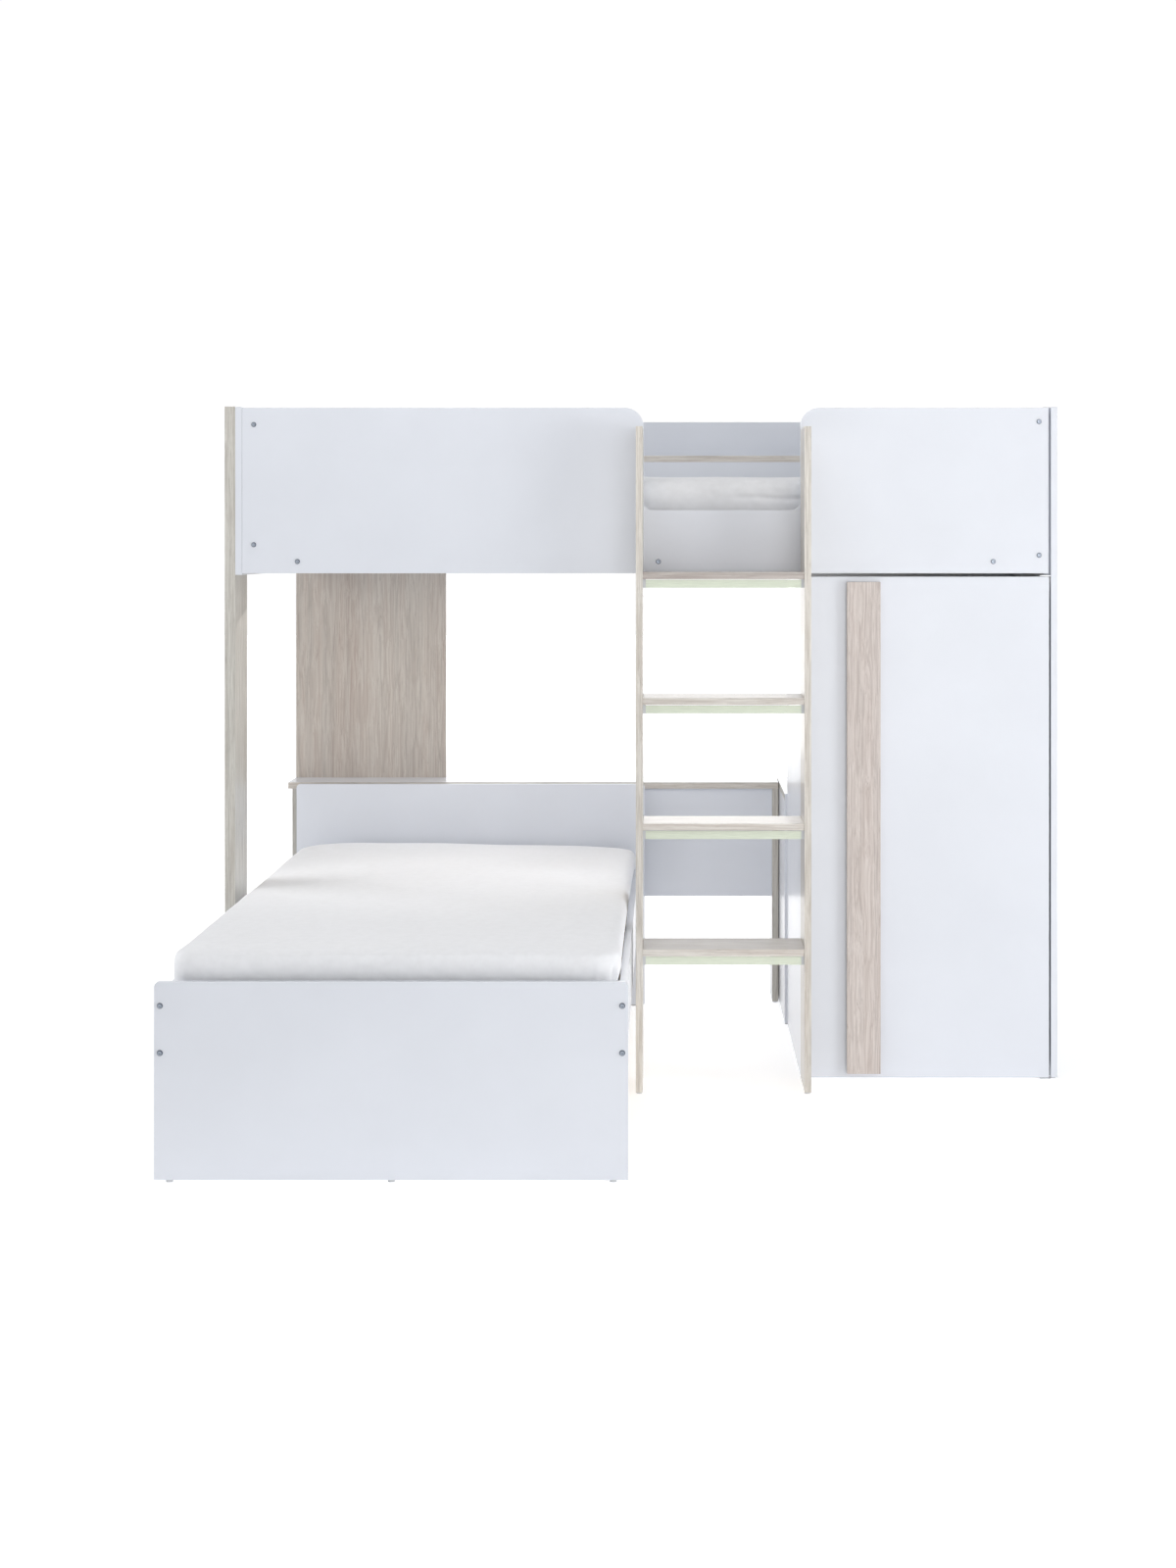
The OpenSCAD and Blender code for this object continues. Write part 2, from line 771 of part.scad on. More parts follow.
module bunk_glides() {
    edge = 20;
    mid = board_t / 2;
    color(plastic) placed() {
        glides([post_t / 2, edge, 0], [post_t / 2, post_w - edge, 0], 2);
        glides([edge, bay_y1 + mid, 0], [leg_panel_w - edge, bay_y1 + mid, 0], 2);
        glides([right_x + mid, edge, 0], [right_x + mid, ward_d - edge, 0], 3);
        glides([right_x + mid, back_y1 - post_w + edge, 0], [right_x + mid, back_y1 - edge, 0], 2);
        glides([ward_x + mid, edge, 0], [ward_x + mid, ward_d - edge, 0], 3);
        glides([desk_x + mid, ward_d + edge, 0], [desk_x + mid, bay_y1 - edge, 0], 2);
        for (x = [console_over + shelf_t / 2, console_x1 - shelf_t / 2])
            glides([x, console_y + edge, 0], [x, bay_y1 - edge, 0], 2);
        for (x = [ladder_x0 - mid, ladder_x1 + mid])
            glides([x, edge - upright_w, 0], [x, -edge, 0], 2);
    }
}

// ---- wardrobe door ----

module handle_screw_bores() {
    for (z = handle_screw_zs)
        bar_y([handle_screw_x, handle_y - handle_t / 2, z], screw_r + screw_clear,
              handle_t / 2 + handle_grip_d + board_t + cut);
}

module door_panel() {
    color(white) placed() difference() {
        slab([door_x0, door_inset, door_gap_floor], [door_x1, door_y1, door_z1]);
        translate([pivot_x, pivot_y, door_gap_floor - cut])
            cylinder(r = pivot_r + pivot_clear, h = pivot_l + 1 + cut);
        translate([pivot_x, pivot_y, door_z1 - pivot_l])
            cylinder(r = pivot_r + pivot_clear, h = pivot_l + cut);
        handle_screw_bores();
    }
}

module handle_batten() {
    color(oak) placed() difference() {
        slab([handle_x0, handle_y - handle_t, handle_z0],
             [handle_x0 + handle_w, handle_y, handle_z1]);
        handle_screw_bores();
    }
}

module handle_spacer() {
    color(oak) placed() difference() {
        slab([handle_x0 + handle_grip_w, handle_y, handle_z0],
             [handle_x0 + handle_w, door_inset, handle_z1]);
        handle_screw_bores();
    }
}

module handle_screws() {
    y = handle_y - handle_t / 2 + cut;
    color(steel) placed() for (z = handle_screw_zs) {
        bar_y([handle_screw_x, y, z], screw_r, door_y1 - y);
        bar_y([handle_screw_x, door_y1, z], screw_head_r, screw_head_h);
    }
}

// Steel plate that meets the magnet
module door_strike() {
    x = ward_inner + stop_w - 3;
    color(steel) placed()
        slab([x, door_y1, catch_z + 3],
             [x + strike_w, door_y1 + strike_t, catch_z + catch_h - 3]);
}

// ---- lower bed ----

// Bores for the bolts that join an end board to the rails
module bed_bolt_bores(y, r, l) {
    for (x = bed_bolt_xs) for (z = bed_bolt_zs) bar_y([x, y, z], r, l);
}

module headboard() {
    color(white) placed() difference() {
        round_board(bed_x, bed_x1 + head_extra, head_y, head_h, bed_corner_r);
        bed_bolt_bores(head_y - cut, bolt_r + bolt_clear, board_t + 2 * cut);
    }
}

module footboard() {
    color(white) placed() difference() {
        round_board(bed_x, bed_x1, bed_y0, foot_h, bed_corner_r);
        bed_bolt_bores(bed_y0 - cut, bolt_r + bolt_clear, board_t + 2 * cut);
    }
}

// Middle of the barrel nuts at each end of the rails
nut_ys = [bed_y0 + bed_bolt_l - nut_back, head_y + board_t - bed_bolt_l + nut_back];

module side_rail(x, nut_x) {
    reach = bed_bolt_l - board_t + cut;
    color(white) placed() difference() {
        slab([x, bed_y0 + board_t, side_rail_z], [x + board_t, head_y, side_rail_z + side_rail_h]);
        for (y = [bed_y0 + board_t - cut, head_y - reach])
            bed_bolt_bores(y, bolt_r + bolt_clear, reach + cut);
        for (y = nut_ys) for (z = bed_bolt_zs)
            bar_x([nut_x - cut, y, z], nut_r + nut_clear, nut_l + 1 + cut);
    }
}

// The nuts go in from the rails' inner faces
module left_rail() {
    side_rail(rail_x0, rail_x0 + board_t - nut_l);
}

module right_rail() {
    side_rail(rail_x1, rail_x1);
}

module bed_barrel_nuts() {
    color(steel) placed() difference() {
        for (x = [rail_x0 + board_t - nut_l, rail_x1]) for (y = nut_ys) for (z = bed_bolt_zs)
            bar_x([x, y, z], nut_r, nut_l);
        bed_bolt_bores(bed_y0, bolt_r + nut_clear, bed_bolt_l + cut);
        bed_bolt_bores(head_y + board_t - bed_bolt_l - cut, bolt_r + nut_clear, bed_bolt_l);
    }
}

module bed_bolts() {
    color(steel) placed() for (x = bed_bolt_xs) for (z = bed_bolt_zs) {
        bolt([x, bed_y0, z], bed_bolt_l);
        translate([x, head_y + board_t, z]) rotate([0, 0, 180]) bolt([0, 0, 0], bed_bolt_l);
    }
}

module rail_ledgers() {
    inset = 70;
    color(oak) placed() for (x = [rail_x0 + board_t, rail_x1 - bed_ledger_s])
        slab([x, bed_y0 + inset, bed_ledger_z],
             [x + bed_ledger_s, head_y + board_t - inset, bed_slat_z]);
}

module lower_slats() {
    inset = 75;
    color(oak) placed()
        slats(bed_y0 + inset, head_y + board_t - inset, [rail_x0 + board_t + cut, bed_slat_z],
              [rail_x1 - cut, bed_slat_z + slat_t], false);
}

module lower_mattress() {
    color(sheet) placed()
        translate([rail_x0 + board_t + bed_inner_w / 2, (bed_y0 + board_t + head_y) / 2,
                   lower_mattress_z])
            rotate([0, 0, 90]) mattress(mattress_l, mattress_w);
}

module bed_glides() {
    edge = 30;
    mid = board_t / 2;
    color(plastic) placed() {
        glides([bed_x + edge, bed_y0 + mid, 0], [bed_x1 - edge, bed_y0 + mid, 0], 3);
        glides([bed_x + edge, head_y + mid, 0], [bed_x1 + head_extra - edge, head_y + mid, 0], 3);
    }
}

// ---- nodes ----

left_post();
left_end_panel();
right_side_panel();
right_end_panel();
right_rear_post();
front_guard();
guard_battens();
guard_bolts();
front_ledger();
rear_ledger();
rear_side();
upper_slats();
upper_mattress();
ledge_shelf();
back_panel();
rear_leg_panel();
console_top();
console_left_leg();
console_right_leg();
console_apron();
desk_top();
desk_left_side();
desk_ledger();
ladder_left_upright();
ladder_right_upright();
ladder_step_1();
ladder_step_2();
ladder_step_3();
ladder_step_4();
step_strips();
step_brackets();
ladder_screws();
wardrobe_left_side();
wardrobe_top();
wardrobe_bottom();
wardrobe_back();
wardrobe_shelf();
shelf_pins();
hanging_rail();
rail_sockets();
door_stop();
door_magnet();
upper_pivot();
lower_pivot();
bunk_glides();
door_panel();
handle_batten();
handle_spacer();
handle_screws();
door_strike();
headboard();
footboard();
left_rail();
right_rail();
rail_ledgers();
lower_slats();
lower_mattress();
bed_bolts();
bed_barrel_nuts();
bed_glides();
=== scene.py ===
"""Visual model of an L-shaped bunk bed: a high bed on a wardrobe, a console, a ladder and a low bed.

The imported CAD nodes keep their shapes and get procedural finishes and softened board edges.
The two mattresses are replaced by crowned, cloth-simulated mattresses in fitted sheets.
All lengths are in metres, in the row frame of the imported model.
"""

import json
import logging
import math
from collections.abc import Callable, Iterable
from dataclasses import dataclass, replace
from enum import Enum

import bmesh
import bpy
import numpy as np
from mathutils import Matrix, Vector

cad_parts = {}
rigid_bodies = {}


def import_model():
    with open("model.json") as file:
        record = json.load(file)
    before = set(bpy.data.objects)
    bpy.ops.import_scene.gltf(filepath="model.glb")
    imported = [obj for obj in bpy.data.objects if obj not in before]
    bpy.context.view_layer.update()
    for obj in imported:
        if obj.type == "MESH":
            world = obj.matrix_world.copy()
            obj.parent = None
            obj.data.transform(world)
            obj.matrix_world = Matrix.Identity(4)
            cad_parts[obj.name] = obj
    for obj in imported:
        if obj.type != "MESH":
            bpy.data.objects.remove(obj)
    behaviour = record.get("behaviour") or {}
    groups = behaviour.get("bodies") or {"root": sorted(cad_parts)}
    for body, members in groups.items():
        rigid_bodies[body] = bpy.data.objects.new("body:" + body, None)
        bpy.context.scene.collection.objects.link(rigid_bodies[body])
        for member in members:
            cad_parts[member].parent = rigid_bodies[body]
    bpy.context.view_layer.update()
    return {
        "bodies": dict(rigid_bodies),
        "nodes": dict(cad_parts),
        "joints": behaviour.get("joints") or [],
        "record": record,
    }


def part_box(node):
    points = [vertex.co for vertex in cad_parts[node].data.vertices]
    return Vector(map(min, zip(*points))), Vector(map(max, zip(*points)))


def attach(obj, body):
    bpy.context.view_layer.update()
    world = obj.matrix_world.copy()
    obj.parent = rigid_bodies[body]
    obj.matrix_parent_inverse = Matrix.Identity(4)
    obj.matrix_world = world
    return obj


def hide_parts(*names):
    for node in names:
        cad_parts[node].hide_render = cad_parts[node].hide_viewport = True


LOG = logging.getLogger("bunk_bed")

Colour = tuple[float, float, float]
Triple = tuple[float, float, float]
Node = bpy.types.Node
Socket = bpy.types.NodeSocket


class Run(Enum):
    """The direction in which a board's grain runs."""

    ALONG_X = (0.035, 1.0, 1.0)
    ALONG_Y = (1.0, 0.035, 1.0)
    ALONG_Z = (1.0, 1.0, 0.035)


class Side(Enum):
    """The side of a board that carries an oak edge band, as its outward direction."""

    FRONT = (0.0, -1.0, 0.0)
    LEFT = (-1.0, 0.0, 0.0)


class Tree:
    """A hand for building node trees: it adds nodes, fills their sockets and joins them."""

    def __init__(self, tree: bpy.types.NodeTree) -> None:
        """Keeps the tree.

        Args:
            tree: The shader or geometry node tree to build in.
        """
        self.tree = tree

    def add(self, kind: str, inputs: dict | None = None, **settings: object) -> Node:
        """Adds a node.

        Args:
            kind: The node's type name.
            inputs: Socket name or index to a value, or to another node's output socket.
            **settings: The node's own properties.

        Returns:
            The new node.
        """
        node = self.tree.nodes.new(kind)
        for key, value in settings.items():
            setattr(node, key, value)
        for key, value in (inputs or {}).items():
            self.feed(node.inputs[key], value)
        return node

    def feed(self, socket: Socket, value: object) -> None:
        """Gives a socket a value or joins it to an output.

        Args:
            socket: The input socket.
            value: A plain value, or an output socket.
        """
        if isinstance(value, Socket):
            self.tree.links.new(value, socket)
        elif socket.type == "RGBA":
            socket.default_value = (*value, 1.0)
        else:
            socket.default_value = value

    def calc(self, kind: str, *values: object, clamp: bool = False) -> Socket:
        """Adds a Math node.

        Args:
            kind: The operation, such as "MULTIPLY".
            *values: Its one to three inputs.
            clamp: Whether the result is held between 0 and 1.

        Returns:
            The result socket.
        """
        node = self.add("ShaderNodeMath", dict(enumerate(values)), operation=kind, use_clamp=clamp)
        return node.outputs[0]

    def blend(self, share: object, low: object, high: object) -> Socket:
        """Mixes two colours.

        Args:
            share: How much of the second colour shows, 0 to 1.
            low: The colour at 0.
            high: The colour at 1.

        Returns:
            The mixed colour's socket.
        """
        node = self.add("ShaderNodeMix", {0: share, 6: low, 7: high}, data_type="RGBA")
        return node.outputs[2]

    def span(self, value: object, low: float, high: float, to_low: float, to_high: float) -> Socket:
        """Maps a value from one range to another, with a clamp.

        Args:
            value: The value's socket.
            low: The start of its range.
            high: The end of its range.
            to_low: What the start becomes.
            to_high: What the end becomes.

        Returns:
            The mapped value's socket.
        """
        inputs = {"Value": value, "From Min": low, "From Max": high, "To Min": to_low, "To Max": to_high}
        return self.add("ShaderNodeMapRange", inputs).outputs[0]

    def noise(self, where: object, scale: float, detail: float = 2.0, rough: float = 0.5) -> Socket:
        """Adds a noise texture.

        Args:
            where: The coordinate socket.
            scale: Cells per metre.
            detail: Octaves.
            rough: The share of the finer octaves.

        Returns:
            The noise value's socket, centred near 0.5.
        """
        inputs = {"Vector": where, "Scale": scale, "Detail": detail, "Roughness": rough}
        return self.add("ShaderNodeTexNoise", inputs).outputs[0]


class GroupShelf:
    """Builds each shared node group once and places it in the materials that use it."""

    def __init__(self) -> None:
        """Starts with no groups built."""
        self.built: dict[str, bpy.types.NodeTree] = {}

    def place(self, tree: Tree, recipe: Callable[[Tree, dict], dict], sockets: dict, inputs: dict) -> Node:
        """Places a group in a material and builds the group the first time.

        Args:
            tree: The material's tree.
            recipe: A function that fills the group and returns output name to socket.
            sockets: The group's inputs, as name to socket type, and the names of its outputs.
            inputs: The values or sockets for this placing.

        Returns:
            The group node.
        """
        name = recipe.__name__
        if name not in self.built:
            group = bpy.data.node_groups.new(name, "ShaderNodeTree")
            for key, kind in sockets["in"].items():
                group.interface.new_socket(key, in_out="INPUT", socket_type=kind)
            for key in sockets["out"]:
                group.interface.new_socket(key, in_out="OUTPUT", socket_type="NodeSocketFloat")
            inner = Tree(group)
            given = group.nodes.new("NodeGroupInput")
            made = recipe(inner, {s.name: s for s in given.outputs if s.name})
            inner.add("NodeGroupOutput", made)
            self.built[name] = group
        node = tree.tree.nodes.new("ShaderNodeGroup")
        node.node_tree = self.built[name]
        for key, value in inputs.items():
            tree.feed(node.inputs[key], value)
        return node


VECTOR, FLOAT = "NodeSocketVector", "NodeSocketFloat"
GRAIN_SOCKETS = {
    "in": {"Place": VECTOR, "Stretch": VECTOR, "Waviness": FLOAT},
    "out": ["Tone", "Hue", "Streaks", "Flecks", "Fibre", "Pores", "Height"],
}
SKIN_SOCKETS = {"in": {"Place": VECTOR, "Pebble Size": FLOAT}, "out": ["Mottle", "Gloss", "Height"]}
BAND_SOCKETS = {"in": {"Facing": VECTOR, "Outward": VECTOR}, "out": ["Mask"]}
WEAVE_SOCKETS = {"in": {"Place": VECTOR, "Threads": FLOAT}, "out": ["Slub", "Height"]}
BRUSH_SOCKETS = {"in": {"Place": VECTOR, "Stretch": VECTOR}, "out": ["Scratches", "Height"]}


def grain(tree: Tree, given: dict) -> dict:
    """Fills the wood grain group: broad tone and hue, long streaks, pale flecks, fibres and pores.

    Args:
        tree: The group's tree.
        given: The group's inputs by name.

    Returns:
        Output name to socket.
    """
    def vector(kind: str, first: object, second: object) -> Socket:
        """Returns the result of a vector operation on two values."""
        return tree.add("ShaderNodeVectorMath", {0: first, 1: second}, operation=kind).outputs[0]

    def drift(where: Socket, scale: float, share: float) -> Socket:
        """Returns a push sideways from a noise."""
        noise = tree.add("ShaderNodeTexNoise", {"Vector": where, "Scale": scale, "Detail": 1.0}).outputs[1]
        centred = vector("SUBTRACT", noise, (0.5, 0.5, 0.5))
        push = tree.add("ShaderNodeVectorMath", {0: centred}, operation="SCALE")
        tree.feed(push.inputs["Scale"], tree.calc("MULTIPLY", given["Waviness"], share))
        return push.outputs[0]

    along = vector("MULTIPLY", given["Place"], given["Stretch"])
    looser = vector("MULTIPLY_ADD", given["Stretch"], (0.75, 0.75, 0.75))
    tree.feed(looser.node.inputs[2], (0.25, 0.25, 0.25))
    loose = vector("MULTIPLY", given["Place"], looser)
    wavy = vector("ADD", along, vector("ADD", drift(along, 34.0, 1.0), drift(loose, 30.0, 0.4)))
    tone = tree.span(tree.noise(wavy, 15.0, 2.0), 0.32, 0.68, 0.0, 1.0)
    hue = tree.span(tree.noise(wavy, 42.0, 2.0), 0.35, 0.65, 0.0, 1.0)
    streaks = tree.span(tree.noise(wavy, 235.0, 3.0, 0.55), 0.37, 0.63, 0.0, 1.0)
    fibre = tree.span(tree.noise(wavy, 520.0, 4.0, 0.6), 0.30, 0.70, 0.0, 1.0)
    shorter = tree.add("ShaderNodeVectorMath", {0: wavy, "Scale": 2.4}, operation="SCALE").outputs[0]
    flecks = tree.span(tree.noise(shorter, 190.0, 3.0, 0.55), 0.55, 0.68, 0.0, 1.0)
    pores = tree.span(tree.noise(shorter, 430.0, 2.0), 0.60, 0.70, 0.0, 1.0)
    height = tree.calc("SUBTRACT", tree.calc("MULTIPLY", fibre, 0.5), pores)
    made = {"Tone": tone, "Hue": hue, "Streaks": streaks, "Flecks": flecks}
    return {**made, "Fibre": fibre, "Pores": pores, "Height": height}


def board_skin(tree: Tree, given: dict) -> dict:
    """Fills the foil skin group: a fine pebble, a faint mottle and uneven gloss. See grain."""
    mottle = tree.noise(given["Place"], 5.5, 3.0)
    gloss = tree.noise(given["Place"], 38.0, 3.0, 0.6)
    pebble = tree.noise(given["Place"], given["Pebble Size"], 2.0)
    return {"Mottle": mottle, "Gloss": gloss, "Height": pebble}


def edge_band(tree: Tree, given: dict) -> dict:
    """Fills the facing mask group: 1 on the faces that look outward, 0 elsewhere. It masks the oak edge
    bands, and on bolt heads it sets where the painted shade goes. See grain.
    """
    ways = {0: given["Facing"], 1: given["Outward"]}
    facing = tree.add("ShaderNodeVectorMath", ways, operation="DOT_PRODUCT")
    return {"Mask": tree.span(facing.outputs["Value"], 0.55, 0.8, 0.0, 1.0)}


def sheet_weave(tree: Tree, given: dict) -> dict:
    """Fills the percale weave group: warp and weft threads, with slubs. See grain."""
    slub = tree.noise(given["Place"], 60.0, 4.0, 0.6)
    parts = tree.add("ShaderNodeSeparateXYZ", {0: given["Place"]}).outputs
    threads = []
    for axis in (0, 1, 2):
        turns = tree.calc("MULTIPLY", tree.calc("MULTIPLY", parts[axis], given["Threads"]), math.tau)
        threads.append(tree.calc("SINE", tree.calc("ADD", turns, tree.calc("MULTIPLY", slub, 2.5))))
    warp = tree.calc("MULTIPLY", threads[0], threads[1])
    height = tree.calc("MULTIPLY_ADD", threads[2], 0.5, warp)
    return {"Slub": slub, "Height": tree.calc("MULTIPLY_ADD", height, 0.35, slub)}


def brushing(tree: Tree, given: dict) -> dict:
    """Fills the brushed metal group: fine scratches along one direction. See grain."""
    inputs = {0: given["Place"], 1: given["Stretch"]}
    along = tree.add("ShaderNodeVectorMath", inputs, operation="MULTIPLY").outputs[0]
    scratches = tree.noise(along, 900.0, 4.0, 0.6)
    return {"Scratches": scratches, "Height": scratches}


SHELF = GroupShelf()


@dataclass(frozen=True)
class Finish:
    """A finish with a name. Its subclasses say how it looks."""

    name: str

    def material(self) -> bpy.types.Material:
        """Returns the finish's material, built the first time it is asked for."""
        found = bpy.data.materials.get(self.name)
        if found:
            return found
        made = bpy.data.materials.new(self.name)
        made.use_nodes = True
        tree = Tree(made.node_tree)
        shader = made.node_tree.nodes["Principled BSDF"]
        where = tree.add("ShaderNodeTexCoord").outputs
        self.fill(tree, shader, where["Object"], where["Normal"])
        return made

    def fill(self, tree: Tree, shader: Node, place: object, facing: object) -> None:
        """Joins the finish's nodes to the shader.

        Args:
            tree: The material's tree.
            shader: Its Principled BSDF node.
            place: The object coordinate socket.
            facing: The object-space normal socket.
        """
        raise NotImplementedError

    def film(self, shader: Node, weight: float = 0.7, roughness: float = 0.22) -> None:
        """Adds the foil's clear film, which shines at low angles.

        Args:
            shader: The material's Principled BSDF node.
            weight: The film's weight.
            roughness: The film's roughness.
        """
        shader.inputs["Coat Weight"].default_value = weight
        shader.inputs["Coat Roughness"].default_value = roughness
        shader.inputs["Coat IOR"].default_value = 1.5

    def bump(self, tree: Tree, shader: Node, height: object, strength: float, depth: float) -> None:
        """Joins a height to the shader's normal.

        Args:
            tree: The material's tree.
            shader: Its Principled BSDF node.
            height: The height socket.
            strength: The bump's strength.
            depth: The bump's distance in metres.
        """
        node = tree.add("ShaderNodeBump", {"Height": height, "Strength": strength, "Distance": depth})
        tree.feed(shader.inputs["Normal"], node.outputs[0])


@dataclass(frozen=True)
class Oak:
    """The colours of one oak foil, how strongly it is streaked and how far its streaks wander."""

    light: Colour
    dark: Colour
    pore: Colour
    warm: Colour
    stretch: Run = Run.ALONG_Z
    waviness: float = 0.012
    fleck: float = 0.45

    def colour(self, tree: Tree, place: object) -> tuple[object, Node]:
        """Mixes the oak's colour.

        Args:
            tree: The material's tree.
            place: The coordinate socket.

        Returns:
            The colour socket and the grain group's node.
        """
        inputs = {"Place": place, "Stretch": self.stretch.value, "Waviness": self.waviness}
        node = SHELF.place(tree, grain, GRAIN_SOCKETS, inputs)
        out = node.outputs
        streaks = tree.calc("MULTIPLY", out["Streaks"], 0.6)
        lines = tree.calc("ADD", streaks, tree.calc("MULTIPLY", out["Fibre"], 0.25))
        share = tree.calc("MULTIPLY_ADD", out["Tone"], 0.3, tree.calc("SUBTRACT", lines, 0.1), clamp=True)
        darks = tree.blend(tree.calc("MULTIPLY", out["Hue"], 0.8), self.dark, self.warm)
        streaked = tree.blend(share, self.light, darks)
        flecked = tree.blend(tree.calc("MULTIPLY", out["Flecks"], self.fleck), streaked, self.light)
        return tree.blend(tree.calc("MULTIPLY", out["Pores"], 0.5), flecked, self.pore), node


@dataclass(frozen=True)
class OakFinish(Finish):
    """Oak foil on every face of a board."""

    oak: Oak | None = None
    roughness: float = 0.5

    def fill(self, tree: Tree, shader: Node, place: object, facing: object) -> None:
        """Joins the grain's colour, gloss and pores. See Finish.fill."""
        colour, node = self.oak.colour(tree, place)
        tree.feed(shader.inputs["Base Color"], colour)
        rough = tree.span(node.outputs["Fibre"], 0.0, 1.0, self.roughness - 0.06, self.roughness + 0.08)
        tree.feed(shader.inputs["Roughness"], rough)
        shader.inputs["Specular IOR Level"].default_value = 0.4
        self.film(shader)
        self.bump(tree, shader, node.outputs["Height"], 0.35, 0.0004)


@dataclass(frozen=True)
class WhiteFinish(Finish):
    """White foil with a fine pebble, and an oak band on one side where there is one."""

    colour: Colour = (0.73, 0.757, 0.817)
    roughness: float = 0.36
    band: Side | None = None
    oak: Oak | None = None

    def fill(self, tree: Tree, shader: Node, place: object, facing: object) -> None:
        """Joins the foil's colour, gloss, pebble and band. See Finish.fill."""
        skin = SHELF.place(tree, board_skin, SKIN_SOCKETS, {"Place": place, "Pebble Size": 1500.0})
        shade = tuple(c * 0.975 for c in self.colour)
        colour = tree.blend(tree.span(skin.outputs["Mottle"], 0.35, 0.65, 0.0, 1.0), self.colour, shade)
        rough = tree.span(skin.outputs["Gloss"], 0.3, 0.7, self.roughness - 0.03, self.roughness + 0.04)
        if self.band:
            inputs = {"Facing": facing, "Outward": self.band.value}
            mask = SHELF.place(tree, edge_band, BAND_SOCKETS, inputs).outputs["Mask"]
            wood, _ = self.oak.colour(tree, place)
            colour = tree.blend(mask, colour, wood)
            rough = tree.calc("MULTIPLY_ADD", mask, 0.12, rough)
        tree.feed(shader.inputs["Base Color"], colour)
        tree.feed(shader.inputs["Roughness"], rough)
        shader.inputs["Specular IOR Level"].default_value = 0.45
        self.film(shader)
        self.bump(tree, shader, skin.outputs["Height"], 0.06, 0.0002)


@dataclass(frozen=True)
class SheetFinish(Finish):
    """White percale: matt, with a soft sheen and a fine weave."""

    colour: Colour = (0.93, 0.94, 0.965)
    threads: float = 1400.0

    def fill(self, tree: Tree, shader: Node, place: object, facing: object) -> None:
        """Joins the weave. See Finish.fill."""
        weave = SHELF.place(tree, sheet_weave, WEAVE_SOCKETS, {"Place": place, "Threads": self.threads})
        shade = tuple(c * 0.96 for c in self.colour)
        slub = tree.span(weave.outputs["Slub"], 0.35, 0.65, 0.0, 1.0)
        tree.feed(shader.inputs["Base Color"], tree.blend(slub, self.colour, shade))
        tree.feed(shader.inputs["Roughness"], tree.span(weave.outputs["Slub"], 0.3, 0.7, 0.82, 0.92))
        shader.inputs["Sheen Weight"].default_value = 0.15
        shader.inputs["Sheen Roughness"].default_value = 0.5
        shader.inputs["Specular IOR Level"].default_value = 0.25
        self.bump(tree, shader, weave.outputs["Height"], 0.3, 0.0004)


@dataclass(frozen=True)
class StripFinish(Finish):
    """Pale green strip that stores light: a smooth, slightly uneven plastic with drawn lines."""

    colour: Colour = (0.72, 0.775, 0.64)
    drawn: Run = Run.ALONG_X

    def fill(self, tree: Tree, shader: Node, place: object, facing: object) -> None:
        """Joins the strip's mottle. See Finish.fill."""
        skin = SHELF.place(tree, board_skin, SKIN_SOCKETS, {"Place": place, "Pebble Size": 900.0})
        lines = SHELF.place(tree, brushing, BRUSH_SOCKETS, {"Place": place, "Stretch": self.drawn.value})
        shade = tuple(c * 0.86 for c in self.colour)
        drawn = tree.span(lines.outputs["Scratches"], 0.35, 0.65, 0.0, 1.0)
        tree.feed(shader.inputs["Base Color"], tree.blend(drawn, self.colour, shade))
        tree.feed(shader.inputs["Roughness"], tree.span(skin.outputs["Gloss"], 0.3, 0.7, 0.38, 0.5))
        self.bump(tree, shader, skin.outputs["Height"], 0.15, 0.0003)


@dataclass(frozen=True)
class PlasticFinish(Finish):
    """Moulded plastic with a fine spark-eroded grain."""

    colour: Colour = (0.55, 0.56, 0.57)

    def fill(self, tree: Tree, shader: Node, place: object, facing: object) -> None:
        """Joins the moulded grain. See Finish.fill."""
        skin = SHELF.place(tree, board_skin, SKIN_SOCKETS, {"Place": place, "Pebble Size": 2600.0})
        shade = tuple(c * 0.9 for c in self.colour)
        tree.feed(shader.inputs["Base Color"], tree.blend(skin.outputs["Gloss"], self.colour, shade))
        tree.feed(shader.inputs["Roughness"], tree.span(skin.outputs["Gloss"], 0.3, 0.7, 0.42, 0.55))
        self.bump(tree, shader, skin.outputs["Height"], 0.3, 0.0003)


@dataclass(frozen=True)
class SteelFinish(Finish):
    """Bright zinc-plated steel with fine brushing. On bolt heads it has painted shade: the faces that do not
    look along Y, the flanks and socket walls, get a dark colour that stands in for a dark reflection ring and
    shade.
    """

    colour: Colour = (0.62, 0.63, 0.65)
    stretch: Run = Run.ALONG_X
    flank: Colour | None = None

    def fill(self, tree: Tree, shader: Node, place: object, facing: object) -> None:
        """Joins the brushing. See Finish.fill."""
        brush = SHELF.place(tree, brushing, BRUSH_SOCKETS, {"Place": place, "Stretch": self.stretch.value})
        shade = tuple(c * 0.85 for c in self.colour)
        colour = tree.blend(brush.outputs["Scratches"], self.colour, shade)
        # Painted shade: faces that do not look along Y, such as the bolt heads' flanks and socket walls, get
        # the dark colour, which stands in for a dark reflection ring and shade.
        if self.flank:
            level = tree.add("ShaderNodeVectorMath", {0: facing}, operation="ABSOLUTE").outputs[0]
            mask = SHELF.place(tree, edge_band, BAND_SOCKETS, {"Facing": level, "Outward": (0.0, 1.0, 0.0)})
            colour = tree.blend(mask.outputs["Mask"], self.flank, colour)
        tree.feed(shader.inputs["Base Color"], colour)
        tree.feed(shader.inputs["Roughness"], tree.span(brush.outputs["Scratches"], 0.3, 0.7, 0.2, 0.36))
        shader.inputs["Metallic"].default_value = 1.0
        self.bump(tree, shader, brush.outputs["Height"], 0.1, 0.0001)


